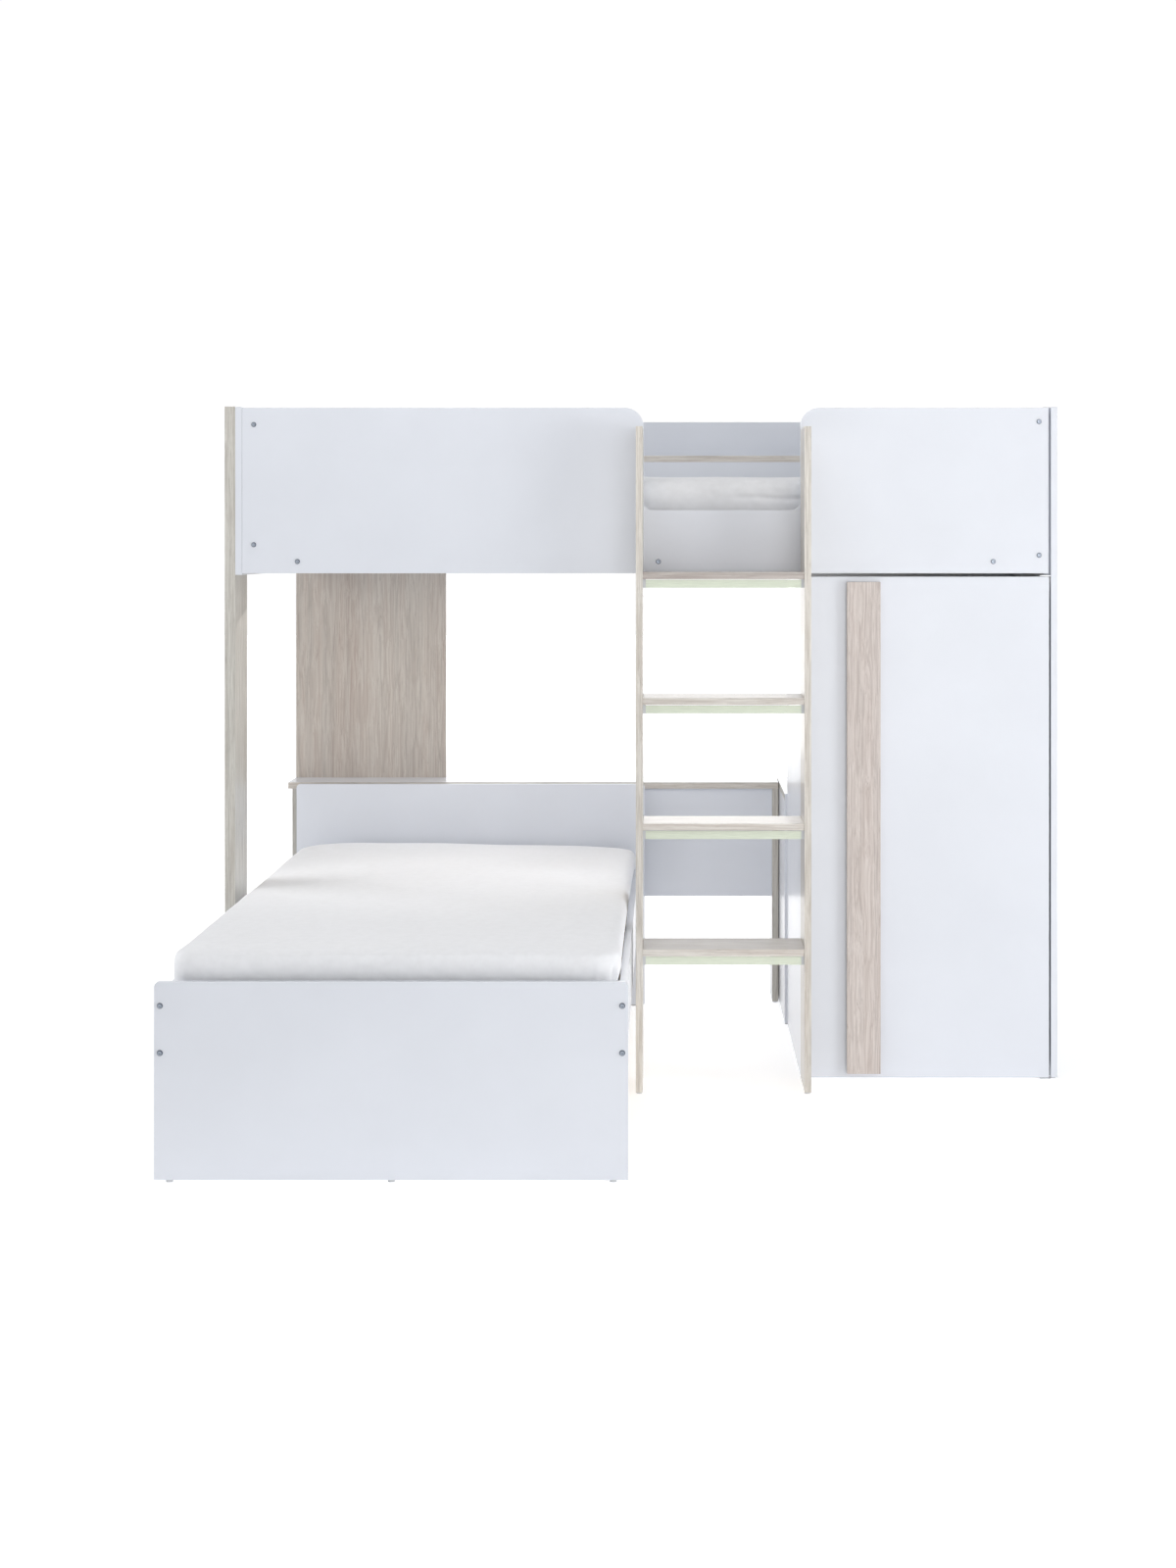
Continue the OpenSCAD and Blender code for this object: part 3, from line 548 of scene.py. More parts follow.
POST_OAK = Oak(
    light=(0.62, 0.605, 0.56), dark=(0.355, 0.335, 0.30), pore=(0.27, 0.25, 0.215), warm=(0.40, 0.36, 0.315),
    waviness=0.006,
)
LADDER_OAK = Oak(
    light=(0.75, 0.72, 0.665), dark=(0.44, 0.405, 0.36), pore=(0.32, 0.285, 0.245), warm=(0.49, 0.435, 0.375),
    waviness=0.006,
)
FACE_OAK = Oak(
    light=(0.68, 0.62, 0.585), dark=(0.40, 0.345, 0.32), pore=(0.33, 0.27, 0.25), warm=(0.45, 0.37, 0.335),
    waviness=0.03, fleck=0.5,
)
PANEL_OAK = Oak(
    light=(0.62, 0.575, 0.52), dark=(0.385, 0.335, 0.30), pore=(0.30, 0.25, 0.22), warm=(0.45, 0.355, 0.305),
    waviness=0.022,
)
STEP_OAK = Oak(
    light=(0.73, 0.70, 0.65), dark=(0.44, 0.40, 0.36), pore=(0.32, 0.28, 0.24), warm=(0.50, 0.43, 0.38),
    stretch=Run.ALONG_X, waviness=0.006,
)
# The top step gets a darker copy of the step oak.
TOP_STEP_OAK = replace(
    STEP_OAK, light=(0.50, 0.455, 0.425), dark=(0.31, 0.265, 0.24), pore=(0.24, 0.20, 0.175),
    warm=(0.36, 0.29, 0.26),
)
END_OAK = replace(POST_OAK, stretch=Run.ALONG_Y)
SLAT_WOOD = Oak(
    light=(0.76, 0.65, 0.49), dark=(0.60, 0.47, 0.32), pore=(0.5, 0.37, 0.24), warm=(0.66, 0.50, 0.33),
    stretch=Run.ALONG_X, waviness=0.006,
)

WHITE = WhiteFinish("white_foil")
SHELF_WHITE = WhiteFinish("white_foil_oak_front", band=Side.FRONT, oak=STEP_OAK)
LEG_WHITE = WhiteFinish("white_foil_oak_front_upright", band=Side.FRONT, oak=POST_OAK)
TOP_WHITE = WhiteFinish("white_foil_oak_left_end", band=Side.LEFT, oak=END_OAK)
POST = OakFinish("pale_oak_post", oak=POST_OAK)
UPRIGHT = OakFinish("pale_oak_upright", oak=LADDER_OAK)
PANEL = OakFinish("pale_oak_panel", oak=PANEL_OAK)
HANDLE = OakFinish("pale_oak_handle", oak=FACE_OAK)
STEP = OakFinish("pale_oak_step", oak=STEP_OAK)
TOP_STEP = OakFinish("pale_oak_top_step", oak=TOP_STEP_OAK)
SLAT_X = OakFinish("slat_wood_lengthways", oak=SLAT_WOOD, roughness=0.6)
SLAT_Y = OakFinish("slat_wood_crossways", oak=replace(SLAT_WOOD, stretch=Run.ALONG_Y), roughness=0.6)
SHEET = SheetFinish("white_percale")
STRIP = StripFinish("glow_strip_plastic")
PLASTIC = PlasticFinish("grey_moulded_plastic")
STEEL = SteelFinish("bright_zinc_steel")
# Bolt heads: a darker steel, with painted shade on their flanks and socket walls.
BOLT_STEEL = SteelFinish("bolt_head_steel", colour=(0.32, 0.355, 0.41), flank=(0.06, 0.08, 0.11))


class BoardEdges:
    """Rounds the edges of CAD boards with modifiers, which leave their meshes as packed.

    Points closer than join_gap are joined. An edge is rounded where it folds by more than
    fold_angle and is longer than shortest_edge, and shaded smooth where it folds by less than
    arc_angle. Lengths are in metres and angles in radians.
    """

    join_gap = 1e-5
    fold_angle = 0.6
    shortest_edge = 0.0013
    arc_angle = 0.12

    def __init__(self) -> None:
        """Builds the geometry groups that go before and after the rounding."""
        self.joined = self.group("joined_faces", self.join_faces)
        self.arcs = self.group("smooth_arcs", self.smooth_arcs)

    def group(self, name: str, fill: Callable[[Tree, object], object]) -> bpy.types.NodeTree:
        """Builds a geometry group.

        Args:
            name: Its name.
            fill: A function that takes the tree and the geometry and returns the new geometry.

        Returns:
            The group.
        """
        made = bpy.data.node_groups.new(name, "GeometryNodeTree")
        for way in ("INPUT", "OUTPUT"):
            made.interface.new_socket("Geometry", in_out=way, socket_type="NodeSocketGeometry")
        tree = Tree(made)
        given = tree.add("NodeGroupInput")
        tree.add("NodeGroupOutput", {0: fill(tree, given.outputs[0])})
        return made

    def join_faces(self, tree: Tree, shape: object) -> object:
        """Joins a board's loose faces, drops the file's normals and marks the edges to round."""
        bare = tree.add("GeometryNodeRemoveAttribute", {"Geometry": shape, "Name": "custom_normal"})
        inputs = {"Geometry": bare.outputs[0], "Distance": self.join_gap}
        whole = tree.add("GeometryNodeMergeByDistance", inputs).outputs[0]
        angle = tree.add("GeometryNodeInputMeshEdgeAngle").outputs["Unsigned Angle"]
        ends = tree.add("GeometryNodeInputMeshEdgeVertices").outputs
        inputs = {0: ends["Position 1"], 1: ends["Position 2"]}
        length = tree.add("ShaderNodeVectorMath", inputs, operation="DISTANCE").outputs["Value"]
        inputs = {0: angle, 1: self.fold_angle}
        folded = tree.add("FunctionNodeCompare", inputs, operation="GREATER_THAN").outputs[0]
        inputs = {0: length, 1: self.shortest_edge}
        long = tree.add("FunctionNodeCompare", inputs, operation="GREATER_THAN").outputs[0]
        mark = tree.add("FunctionNodeBooleanMath", {0: folded, 1: long}, operation="AND").outputs[0]
        inputs = {"Geometry": whole, "Selection": mark, "Name": "bevel_weight_edge", "Value": 1.0}
        marked = tree.add("GeometryNodeStoreNamedAttribute", inputs, data_type="FLOAT", domain="EDGE")
        return marked.outputs[0]

    def smooth_arcs(self, tree: Tree, shape: object) -> object:
        """Shades arcs smooth and keeps flat faces flat."""
        angle = tree.add("GeometryNodeInputMeshEdgeAngle").outputs["Unsigned Angle"]
        inputs = {0: angle, 1: self.arc_angle}
        gentle = tree.add("FunctionNodeCompare", inputs, operation="LESS_THAN").outputs[0]
        inputs = {"Geometry": shape, "Shade Smooth": True}
        faces = tree.add("GeometryNodeSetShadeSmooth", inputs, domain="FACE")
        inputs = {"Geometry": faces.outputs[0], "Shade Smooth": gentle}
        return tree.add("GeometryNodeSetShadeSmooth", inputs, domain="EDGE").outputs[0]

    def soften(self, board: bpy.types.Object, radius: float) -> None:
        """Rounds a board's edges.

        Args:
            board: The CAD node's object.
            radius: The edge radius in metres.
        """
        board.modifiers.new("joined_faces", "NODES").node_group = self.joined
        rounding = board.modifiers.new("soft_edges", "BEVEL")
        rounding.width, rounding.segments = radius, 2
        rounding.limit_method, rounding.loop_slide = "WEIGHT", False
        board.modifiers.new("smooth_arcs", "NODES").node_group = self.arcs


@dataclass
class SubAssembly:
    """A group of CAD nodes that are dressed together."""

    frame: dict
    edges: BoardEdges
    edge: float = 0.0008
    slat_edge: float = 0.0012
    bolt_edge: float = 0.0006

    def dress(self, names: Iterable[str], finish: Finish, radius: float = 0.0) -> None:
        """Gives CAD nodes a finish and softened edges.

        Args:
            names: The nodes.
            finish: Their finish.
            radius: The edge radius in metres, or 0 for none.
        """
        for name in names:
            board = self.frame["nodes"][name]
            slots = board.data.materials
            if not slots:
                slots.append(finish.material())
            for i in range(len(slots)):
                slots[i] = finish.material()
            if radius:
                self.edges.soften(board, radius)
            LOG.info("%s: %s", name, finish.name)


@dataclass
class UpperBunk(SubAssembly):
    """The high bed's boards, posts, slats and bolts."""

    whites: tuple[str, ...] = (
        "left_end_panel", "right_side_panel", "right_end_panel", "front_guard", "guard_battens",
        "front_ledger", "rear_ledger", "rear_side", "back_panel",
    )

    def build(self) -> None:
        """Dresses the bunk."""
        self.dress(self.whites, WHITE, self.edge)
        self.dress(["left_post", "right_rear_post"], POST, self.edge)
        self.dress(["rear_leg_panel"], PANEL, self.edge)
        self.dress(["ledge_shelf"], SHELF_WHITE, self.edge)
        self.dress(["upper_slats"], SLAT_Y, self.slat_edge)
        self.dress(["guard_bolts"], BOLT_STEEL, self.bolt_edge)
        self.dress(["bunk_glides"], PLASTIC)


@dataclass
class ConsoleDesk(SubAssembly):
    """The console along the back and the desk behind the wardrobe."""

    def build(self) -> None:
        """Dresses the console and desk."""
        self.dress(["console_apron", "desk_left_side", "desk_ledger"], WHITE, self.edge)
        self.dress(["console_top"], SHELF_WHITE, self.edge)
        self.dress(["console_left_leg", "console_right_leg"], LEG_WHITE, self.edge)
        self.dress(["desk_top"], TOP_WHITE, self.edge)


@dataclass
class Ladder(SubAssembly):
    """The ladder, with glow strips under its steps."""

    def build(self) -> None:
        """Dresses the ladder."""
        self.dress(["ladder_left_upright", "ladder_right_upright"], UPRIGHT, self.edge)
        self.dress([f"ladder_step_{i}" for i in range(1, 4)], STEP, self.edge)
        self.dress(["ladder_step_4"], TOP_STEP, self.edge)
        self.dress(["step_strips"], STRIP)
        self.dress(["step_brackets"], PLASTIC)
        self.dress(["ladder_screws"], STEEL)


@dataclass
class Wardrobe(SubAssembly):
    """The wardrobe, its door, handle and fittings."""

    whites: tuple[str, ...] = (
        "wardrobe_left_side", "wardrobe_top", "wardrobe_bottom", "wardrobe_back", "wardrobe_shelf",
        "door_stop", "door_panel",
    )
    fittings: tuple[str, ...] = (
        "shelf_pins", "hanging_rail", "rail_sockets", "upper_pivot", "lower_pivot", "handle_screws",
        "door_strike",
    )

    def build(self) -> None:
        """Dresses the wardrobe."""
        self.dress(self.whites, WHITE, self.edge)
        self.dress(["handle_batten", "handle_spacer"], HANDLE, self.edge)
        self.dress(self.fittings, STEEL)
        self.dress(["door_magnet"], PLASTIC)


@dataclass
class LowerBed(SubAssembly):
    """The low bed's boards, slats and bolts."""

    def build(self) -> None:
        """Dresses the low bed."""
        self.dress(["headboard", "footboard", "left_rail", "right_rail"], WHITE, self.edge)
        self.dress(["rail_ledgers"], SLAT_Y, self.slat_edge)
        self.dress(["lower_slats"], SLAT_X, self.slat_edge)
        self.dress(["bed_bolts"], BOLT_STEEL, self.bolt_edge)
        self.dress(["bed_barrel_nuts"], STEEL)
        self.dress(["bed_glides"], PLASTIC)


@dataclass(frozen=True)
class SheetCloth:
    """How the sheet's cloth simulation is set: its stiffnesses, its pressure and its last frame."""

    quality: int = 5
    mass: float = 0.3
    tension: float = 12.0
    compression: float = 4.0
    shear: float = 4.0
    bending: float = 0.4
    pressure: float = 4.0
    last_frame: int = 20


@dataclass(frozen=True)
class Tuck:
    """A hospital-corner fold: a narrow groove on a rounded corner, with a loose lip beside it.

    It runs down from top over reach, and starts at a distance of start from the corner's hub.
    """

    hub: tuple[float, float]
    angle: float
    top: float
    width: float = 0.006
    depth: float = 0.007
    lip: float = 0.003
    reach: float = 0.09
    start: float = 0.03
    fade: float = 0.02
    lean: float = 0.12


@dataclass(frozen=True)
class Crease:
    """A shallow level groove across the front face of a mattress, which fades out at both ends."""

    start: float
    end: float
    height: float
    width: float = 0.007
    depth: float = 0.003
    fade: float = 0.05
    face: float = 0.02


@dataclass(frozen=True)
class Overhang:
    """How far the sheet bulges out at its right side, above the rail, at the foot and at the head.

    It starts at a height, is full at rise above it, and begins at a share of the half width.
    """

    height: float
    foot: float
    head: float
    rise: float = 0.03
    begin: float = 0.82


def portion(part: np.ndarray, whole: float) -> np.ndarray:
    """Returns what portion of a whole each part is, held between 0 and 1."""
    return np.clip(part / whole, 0, 1)


def soft_step(value: np.ndarray) -> np.ndarray:
    """Returns a value of 0 to 1 eased at both ends."""
    return value * value * (3 - 2 * value)


@dataclass
class FittedMattress:
    """A mattress in a fitted sheet, which replaces the CAD mattress node.

    voxel is the even mesh's cell. shrink is how far inside the node's box it starts, and cap how
    far the cloth may move a point. gather, wave and wrinkle are the depths of the corner gathers,
    the top's waves and the end wrinkles, and phase sets where they fall. squareness above 1 fills
    out the shoulders. sag is the place and depth of a hollow in the top.
    """

    node: str
    body: str
    name: str
    voxel: float = 0.014
    shrink: float = 0.005
    cap: float = 0.006
    gather: float = 0.0035
    wave: float = 0.0022
    wrinkle: float = 0.0012
    wrinkle_band: float = 0.03
    corner: float = 0.09
    corner_reach: float = 0.17
    phase: float = 0.0
    shoulder: float = 0.05
    squareness: float = 1.0
    sag: Triple | None = None
    sag_spread: tuple[float, float] = (0.26, 0.3)
    fill: float = 0.9
    cloth: SheetCloth = SheetCloth()
    overhang: Overhang | None = None
    tuck: Tuck | None = None
    crease: Crease | None = None

    def __post_init__(self) -> None:
        """Reads the node's box, from its lowest to its highest corner."""
        self.low, self.high = (np.array(corner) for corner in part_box(self.node))

    def build(self) -> bpy.types.Object:
        """Builds the mattress and puts it in the CAD node's place.

        Returns:
            The finished piece.
        """
        piece = self.blank()
        self.inflate(piece)
        self.ease(piece)
        self.refine(piece)
        self.fold(piece)
        for face in piece.data.polygons:
            face.use_smooth = True
        piece.data.materials.clear()
        piece.data.materials.append(SHEET.material())
        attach(piece, self.body)
        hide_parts(self.node)
        LOG.info("%s: %d points", piece.name, len(piece.data.vertices))
        return piece

    def blank(self) -> bpy.types.Object:
        """Makes an even mesh of the CAD mattress, a little smaller.

        Returns:
            The new object.
        """
        mesh = bpy.data.objects[self.node].data.copy()
        piece = bpy.data.objects.new(self.name, mesh)
        bpy.context.scene.collection.objects.link(piece)
        middle, size = (self.low + self.high) / 2, self.high - self.low
        self.place(piece, middle + (self.points(piece) - middle) * (1 - 2 * self.shrink / size))
        if "custom_normal" in mesh.attributes:
            mesh.attributes.remove(mesh.attributes["custom_normal"])
        weld = piece.modifiers.new("weld", "WELD")
        weld.merge_threshold = 1e-4
        even = piece.modifiers.new("even", "REMESH")
        even.mode, even.voxel_size = "VOXEL", self.voxel
        smooth = piece.modifiers.new("smooth", "SMOOTH")
        smooth.factor, smooth.iterations = 0.5, 3
        self.apply_all(piece)
        return piece

    def apply_all(self, piece: bpy.types.Object) -> None:
        """Applies every modifier of a piece in order.

        Args:
            piece: The object.
        """
        bpy.context.view_layer.objects.active = piece
        with bpy.context.temp_override(object=piece, active_object=piece, selected_objects=[piece]):
            for name in [m.name for m in piece.modifiers]:
                bpy.ops.object.modifier_apply(modifier=name)

    def inflate(self, piece: bpy.types.Object) -> None:
        """Lets the sheet settle over the swelling mattress by cloth simulation.

        Args:
            piece: The mattress.
        """
        before = self.points(piece)
        sheet = piece.modifiers.new("sheet", "CLOTH")
        settings, cloth = sheet.settings, self.cloth
        settings.quality, settings.mass = cloth.quality, cloth.mass
        settings.tension_stiffness, settings.compression_stiffness = cloth.tension, cloth.compression
        settings.shear_stiffness, settings.bending_stiffness = cloth.shear, cloth.bending
        settings.use_pressure, settings.uniform_pressure_force = True, cloth.pressure
        settings.effector_weights.gravity = 0
        sheet.collision_settings.use_collision = False
        sheet.point_cache.frame_start, sheet.point_cache.frame_end = 1, cloth.last_frame
        for number in range(1, cloth.last_frame + 1):
            bpy.context.scene.frame_set(number)
        self.apply_all(piece)
        bpy.context.scene.frame_set(1)
        moved = self.points(piece) - before
        length = np.maximum(np.linalg.norm(moved, axis=1, keepdims=True), 1e-9)
        self.place(piece, before + moved / length * self.cap * np.tanh(length / self.cap))

    def ease(self, piece: bpy.types.Object) -> None:
        """Fits the piece into the node's box and adds its shoulders, waves, sag and overhang.

        Args:
            piece: The mattress.
        """
        low, high, co = self.low, self.high, self.points(piece)
        own_low, own_high = co.min(axis=0), co.max(axis=0)
        co = low + (co - own_low) / (own_high - own_low) * (high - low)
        below = np.minimum((high[2] - co[:, 2]) / self.shoulder, 1)
        co[:, 2] += self.shoulder * (below - below**self.squareness)
        across = (co - (low + high) / 2) / ((high - low) / 2)
        top = portion(across[:, 2] - 0.2, 0.6)
        # Two slow waves that cross, and a faster one over the width. Their rates are radians per metre.
        swell = (
            np.sin(co[:, 0] * 9.1 + 1.3 * np.sin(co[:, 1] * 4.7 + self.phase) + self.phase)
            * np.sin(co[:, 1] * 7.3 + 1.1 * np.sin(co[:, 0] * 5.9 + 2 * self.phase))
            + 0.45 * np.sin(co[:, 0] * 23.0 + 2.2 * np.sin(co[:, 1] * 11.0) + self.phase)
        )
        inward = np.clip(1.1 - np.maximum(np.abs(across[:, 0]), np.abs(across[:, 1])), 0, 1)
        co[:, 2] -= self.wave * (0.9 - swell * 0.6) * top * np.minimum(inward * 8, 1)
        if self.sag:
            x, y, drop = self.sag
            wide, deep = self.sag_spread
            spread = np.exp(-(((co[:, 0] - x) / wide) ** 2) - ((co[:, 1] - y) / deep) ** 2)
            co[:, 2] -= drop * spread * top
        if self.overhang:
            over = self.overhang
            above = portion(co[:, 2] - over.height, over.rise)
            beside = portion(across[:, 0] - over.begin, 1 - over.begin)
            out = over.foot + (over.head - over.foot) * (across[:, 1] + 1) / 2
            co[:, 0] += out * soft_step(above) * soft_step(beside)
        self.keep(piece, co)

    def keep(self, piece: bpy.types.Object, co: np.ndarray) -> None:
        """Writes the points back, held inside the node's box and the overhang beside it.

        Args:
            piece: The mattress.
            co: The points.
        """
        beyond = self.overhang.head if self.overhang else 0.0
        self.place(piece, np.clip(co, self.low, self.high + np.array([beyond, 0.0, 0.0])))

    def refine(self, piece: bpy.types.Object) -> None:
        """Doubles the mesh's density, and makes it finer still where the tuck and crease go.

        Args:
            piece: The mattress.
        """
        finer = piece.modifiers.new("finer", "SUBSURF")
        finer.levels = finer.render_levels = 1
        self.apply_all(piece)
        if not (self.tuck or self.crease):
            return
        mesh = bmesh.new()
        mesh.from_mesh(piece.data)
        near = {v for v in mesh.verts if self.needs_detail(v.co)}
        edges = [e for e in mesh.edges if e.verts[0] in near and e.verts[1] in near]
        bmesh.ops.subdivide_edges(mesh, edges=edges, cuts=2, use_grid_fill=True, smooth=0.0)
        mesh.to_mesh(piece.data)
        mesh.free()

    def needs_detail(self, point: Vector) -> bool:
        """Returns whether a point lies where the tuck or the crease goes."""
        margin, fan, strip, front = 0.1, 0.75, 0.03, -0.02
        if self.tuck:
            flat = Vector((point.x - self.tuck.hub[0], point.y - self.tuck.hub[1]))
            turn = math.atan2(flat.y, flat.x) - self.tuck.angle
            beside = abs(turn) < fan and flat.length > self.tuck.start
            return beside and point.z > self.tuck.top - margin
        line = self.crease
        level = abs(point.z - line.height) < strip and point.y < front
        return level and line.start - margin < point.x < line.end + margin

    def fold(self, piece: bpy.types.Object) -> None:
        """Presses in the corner gathers, the end wrinkles, the tuck and the crease.

        Args:
            piece: The mattress.
        """
        co = self.points(piece)
        middle, half = (self.low + self.high) / 2, (self.high - self.low) / 2
        level = (co[:, 2] - middle[2]) / half[2]
        flat = co[:, :2] - middle[:2]
        side = np.sign(flat)
        arm = flat - side * (half[:2] - self.corner)
        angle = np.arctan2(arm[:, 1] * side[:, 1], arm[:, 0] * side[:, 0])
        gaps = half[:2] - np.abs(flat)
        near = np.exp(-((gaps.sum(axis=1) / self.corner_reach) ** 2))
        near = near * portion(0.75 - level, 1.3)
        # The gathers fan out around each corner, and differ from corner to corner.
        turns = angle * 17.0 + 3.1 * np.sin(angle * 5 + self.phase) + side[:, 0] + 2 * side[:, 1]
        ripple = 0.5 + 0.5 * np.cos(turns)
        outward = arm / np.maximum(np.linalg.norm(arm, axis=1, keepdims=True), 1e-6)
        co[:, :2] -= outward * (self.gather * near * ripple)[:, None]
        ends = np.clip(1 - gaps[:, 1] / self.wrinkle_band, 0, 1)
        ends = ends * np.clip(1 - np.abs(level - 0.55) / 0.6, 0, 1)
        # The wrinkles at the ends lean to one side.
        slant = np.sin(co[:, 0] * 88.0 + co[:, 2] * 150.0 + 2.0 * np.sin(co[:, 0] * 17.0 + self.phase))
        co[:, 1] -= side[:, 1] * self.wrinkle * ends * (0.5 + 0.5 * slant)
        if self.tuck:
            self.press_tuck(co)
        if self.crease:
            line = self.crease
            along = portion(co[:, 0] - line.start, line.fade) * portion(line.end - co[:, 0], line.fade)
            offset = co[:, 2] - line.height - 0.002 * np.sin(co[:, 0] * 31.0)
            groove = np.exp(-((offset / line.width) ** 2)) * along * (co[:, 1] < middle[1])
            co[:, 1] += line.depth * groove * np.clip(1 - gaps[:, 1] / line.face, 0, 1)
        self.keep(piece, co)

    def press_tuck(self, co: np.ndarray) -> None:
        """Presses the tuck's groove into its corner and lifts the lip beside it.

        Args:
            co: The points, changed in place.
        """
        fold = self.tuck
        arm = co[:, :2] - np.array(fold.hub)
        length = np.linalg.norm(arm, axis=1)
        turn = (np.arctan2(arm[:, 1], arm[:, 0]) - fold.angle) * length
        turn = turn + fold.lean * (co[:, 2] - fold.top)
        drop = portion(fold.top - co[:, 2], fold.fade) * portion(length - fold.start, fold.fade)
        drop *= np.exp(-np.clip(fold.top - co[:, 2] - fold.reach, 0, 1) / fold.fade)
        groove = fold.depth * np.exp(-((turn / fold.width) ** 2))
        lip = fold.lip * np.exp(-(((turn - 2.2 * fold.width) / (1.3 * fold.width)) ** 2))
        co[:, :2] -= arm / np.maximum(length, 1e-6)[:, None] * ((groove - lip) * drop)[:, None]

    def points(self, piece: bpy.types.Object) -> np.ndarray:
        """Returns the piece's points as rows of three numbers."""
        flat = np.zeros(len(piece.data.vertices) * 3)
        piece.data.vertices.foreach_get("co", flat)
        return flat.reshape(-1, 3)

    def place(self, piece: bpy.types.Object, co: np.ndarray) -> None:
        """Writes the piece's points back."""
        piece.data.vertices.foreach_set("co", co.reshape(-1))
        piece.data.update()


@dataclass(frozen=True)
class Softbox:
    """One soft square light: where it hangs, what it looks at, its edge and its power in watts."""

    name: str
    place: Triple
    aim: Triple
    size: float
    power: float


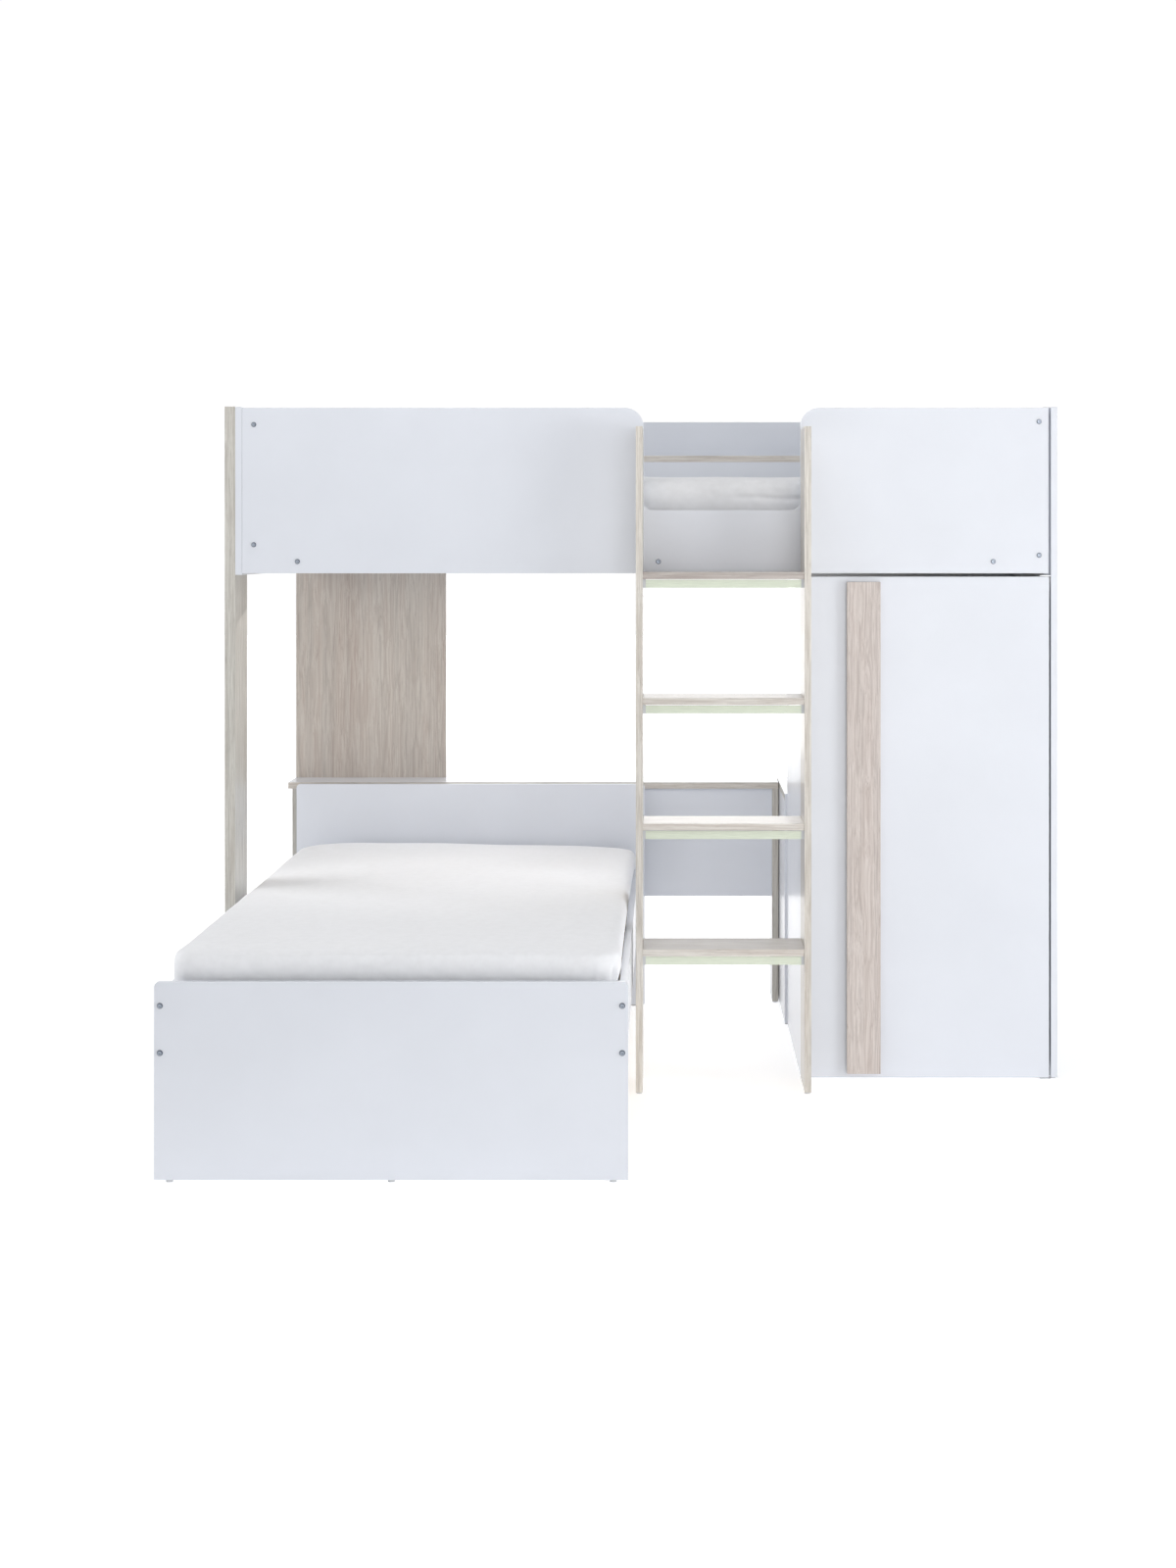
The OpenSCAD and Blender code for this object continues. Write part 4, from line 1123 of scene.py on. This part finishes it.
@dataclass
class Studio:
    """The pale floor, the white surround, the soft lights and the camera.

    The floor's glow as soft light falls from floor_glow + floor_spot at spot_centre to floor_glow.
    What the camera and reflections see of it rises from floor_seen to 1.
    """

    floor_half: float = 30.0
    sky_glow: float = 0.19
    floor_glow: float = 0.23
    floor_spot: float = 0.36
    floor_seen: float = 0.45
    spot_centre: Triple = (0.0, -1.2, 0.0)
    spot_reach: tuple[float, float] = (0.6, 2.6)
    seen_reach: tuple[float, float] = (1.6, 4.5)
    seen_glow: float = 1.02
    boxes: tuple[Softbox, ...] = (
        Softbox("key", (2.0, -6.0, 3.2), (0.4, -0.1, 1.0), 2.0, 43.0),
        Softbox("front_low", (1.2, -6.2, 0.8), (0.0, 0.0, 0.7), 2.0, 28.0),
        Softbox("front_bed", (-0.4, -1.6, 3.2), (-0.4, -0.9, 0.4), 1.6, 23.0),
        Softbox("left_high", (-4.6, 0.0, 2.6), (0.2, 0.2, 0.5), 4.6, 160.0),
        Softbox("right_side", (4.6, -0.6, 1.3), (0.4, 0.2, 0.8), 2.0, 24.0),
        Softbox("right_low", (3.8, -2.6, 0.9), (-0.5, -0.3, 0.4), 1.6, 50.0),
        Softbox("right_high", (4.2, -2.8, 2.8), (0.3, 0.0, 1.0), 1.8, 12.0),
        Softbox("back", (-0.2, 4.0, 1.5), (-0.3, 0.0, 0.6), 2.2, 14.0),
        Softbox("top_back", (0.2, 2.6, 4.4), (0.0, 0.5, 1.3), 2.4, 36.0),
        Softbox("under_bunk_left", (-0.6, 0.2, 1.16), (-0.55, 0.4, 0.2), 0.7, 1.2),
        Softbox("under_bunk_right", (0.15, 0.2, 1.16), (0.14, 0.8, 0.35), 0.6, 1.9),
    )
    eye: Triple = (0.0658, -6.1273, 1.269)
    lens: float = 58.2
    shift: tuple[float, float] = (-0.0515, -0.1518)

    def build(self) -> None:
        """Builds the studio."""
        self.surround_with_white()
        self.lay_floor()
        for box in self.boxes:
            self.hang_light(box)
        self.set_camera()

    def sharp_rays(self, tree: Tree) -> object:
        """Returns a socket that is 1 for camera and glossy rays, and 0 for soft light."""
        path = tree.add("ShaderNodeLightPath").outputs
        return tree.calc("MAXIMUM", path["Is Camera Ray"], path["Is Glossy Ray"])

    def surround_with_white(self) -> None:
        """Makes the surround white to the eye and in reflections, and a soft light from above."""
        world = bpy.data.worlds.new("white_surround")
        world.use_nodes = True
        bpy.context.scene.world = world
        tree = Tree(world.node_tree)
        world.node_tree.nodes.clear()
        generated = tree.add("ShaderNodeTexCoord").outputs["Generated"]
        way = tree.add("ShaderNodeSeparateXYZ", {0: generated}).outputs
        soft = tree.calc("MULTIPLY", tree.calc("MAXIMUM", way["Z"], 0.0), self.sky_glow)
        sharp = self.sharp_rays(tree)
        seen = tree.calc("MULTIPLY", sharp, self.seen_glow)
        strength = tree.calc("MULTIPLY_ADD", tree.calc("SUBTRACT", 1.0, sharp), soft, seen)
        glow = tree.add("ShaderNodeBackground", {"Color": (1.0, 1.0, 1.0), "Strength": strength})
        tree.add("ShaderNodeOutputWorld", {"Surface": glow.outputs[0]})
        bpy.context.scene.view_settings.view_transform = "Standard"

    def lay_floor(self) -> None:
        """Lays the floor, which is not part of the bed."""
        mesh = bpy.data.meshes.new("floor")
        h = self.floor_half
        mesh.from_pydata([(-h, -h, 0), (h, -h, 0), (h, h, 0), (-h, h, 0)], [], [(0, 1, 2, 3)])
        floor = bpy.data.objects.new("floor", mesh)
        bpy.context.scene.collection.objects.link(floor)
        paint = bpy.data.materials.new("pale_floor")
        paint.use_nodes = True
        tree = Tree(paint.node_tree)
        shader = paint.node_tree.nodes["Principled BSDF"]
        place = tree.add("ShaderNodeTexCoord").outputs["Object"]
        cloud = tree.span(tree.noise(place, 0.7, 2.0), 0.3, 0.7, 0.0, 1.0)
        tree.feed(shader.inputs["Base Color"], tree.blend(cloud, (0.92, 0.92, 0.92), (0.905, 0.905, 0.91)))
        shader.inputs["Roughness"].default_value = 0.8
        shader.inputs["Specular IOR Level"].default_value = 0.1
        shader.inputs["Emission Color"].default_value = (1.0, 1.0, 1.0, 1.0)
        inputs = {0: place, 1: self.spot_centre}
        reach = tree.add("ShaderNodeVectorMath", inputs, operation="DISTANCE").outputs["Value"]
        spot = tree.span(reach, *self.spot_reach, 1.0, 0.0)
        soft = tree.calc("MULTIPLY_ADD", spot, self.floor_spot, self.floor_glow)
        seen = tree.span(reach, *self.seen_reach, self.floor_seen, 1.0)
        inputs = {0: self.sharp_rays(tree), 2: soft, 3: seen}
        glow = tree.add("ShaderNodeMix", inputs, data_type="FLOAT").outputs[0]
        tree.feed(shader.inputs["Emission Strength"], glow)
        mesh.materials.append(paint)

    def hang_light(self, box: Softbox) -> None:
        """Hangs one soft square light.

        Args:
            box: The light.
        """
        lamp = bpy.data.lights.new(box.name, "AREA")
        lamp.shape, lamp.size, lamp.energy = "SQUARE", box.size, box.power
        hung = bpy.data.objects.new(box.name, lamp)
        hung.location = box.place
        hung.rotation_euler = (Vector(box.aim) - Vector(box.place)).to_track_quat("-Z", "Y").to_euler()
        bpy.context.scene.collection.objects.link(hung)

    def set_camera(self) -> None:
        """Sets the camera at the photograph's viewing angle."""
        data = bpy.data.cameras.new("photo_camera")
        data.sensor_width, data.lens = 36.0, self.lens
        data.shift_x, data.shift_y = self.shift
        camera = bpy.data.objects.new("photo_camera", data)
        camera.location, camera.rotation_euler = self.eye, (math.pi / 2, 0.0, 0.0)
        bpy.context.scene.collection.objects.link(camera)
        bpy.context.scene.camera = camera


def main() -> None:
    """Builds the bunk bed's looks in order and reports each piece."""
    logging.basicConfig(level=logging.INFO, format="%(name)s %(message)s")
    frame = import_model()
    Studio().build()
    edges = BoardEdges()
    for kind in (UpperBunk, ConsoleDesk, Ladder, Wardrobe, LowerBed):
        kind(frame, edges).build()
    crease = Crease(start=0.19, end=0.42, height=1.384)
    FittedMattress("upper_mattress", "frame", "upper_fitted_mattress", phase=1.7, crease=crease).build()
    tuck = Tuck(hub=(-0.093, -0.991), angle=-0.62, top=0.428)
    over = Overhang(height=0.385, foot=0.009, head=0.018)
    FittedMattress(
        "lower_mattress", "lower_bed", "lower_fitted_mattress", phase=0.4, squareness=2.4,
        sag=(-0.13, 0.8, 0.009), overhang=over, tuck=tuck,
    ).build()


if __name__ == "__main__":
    main()
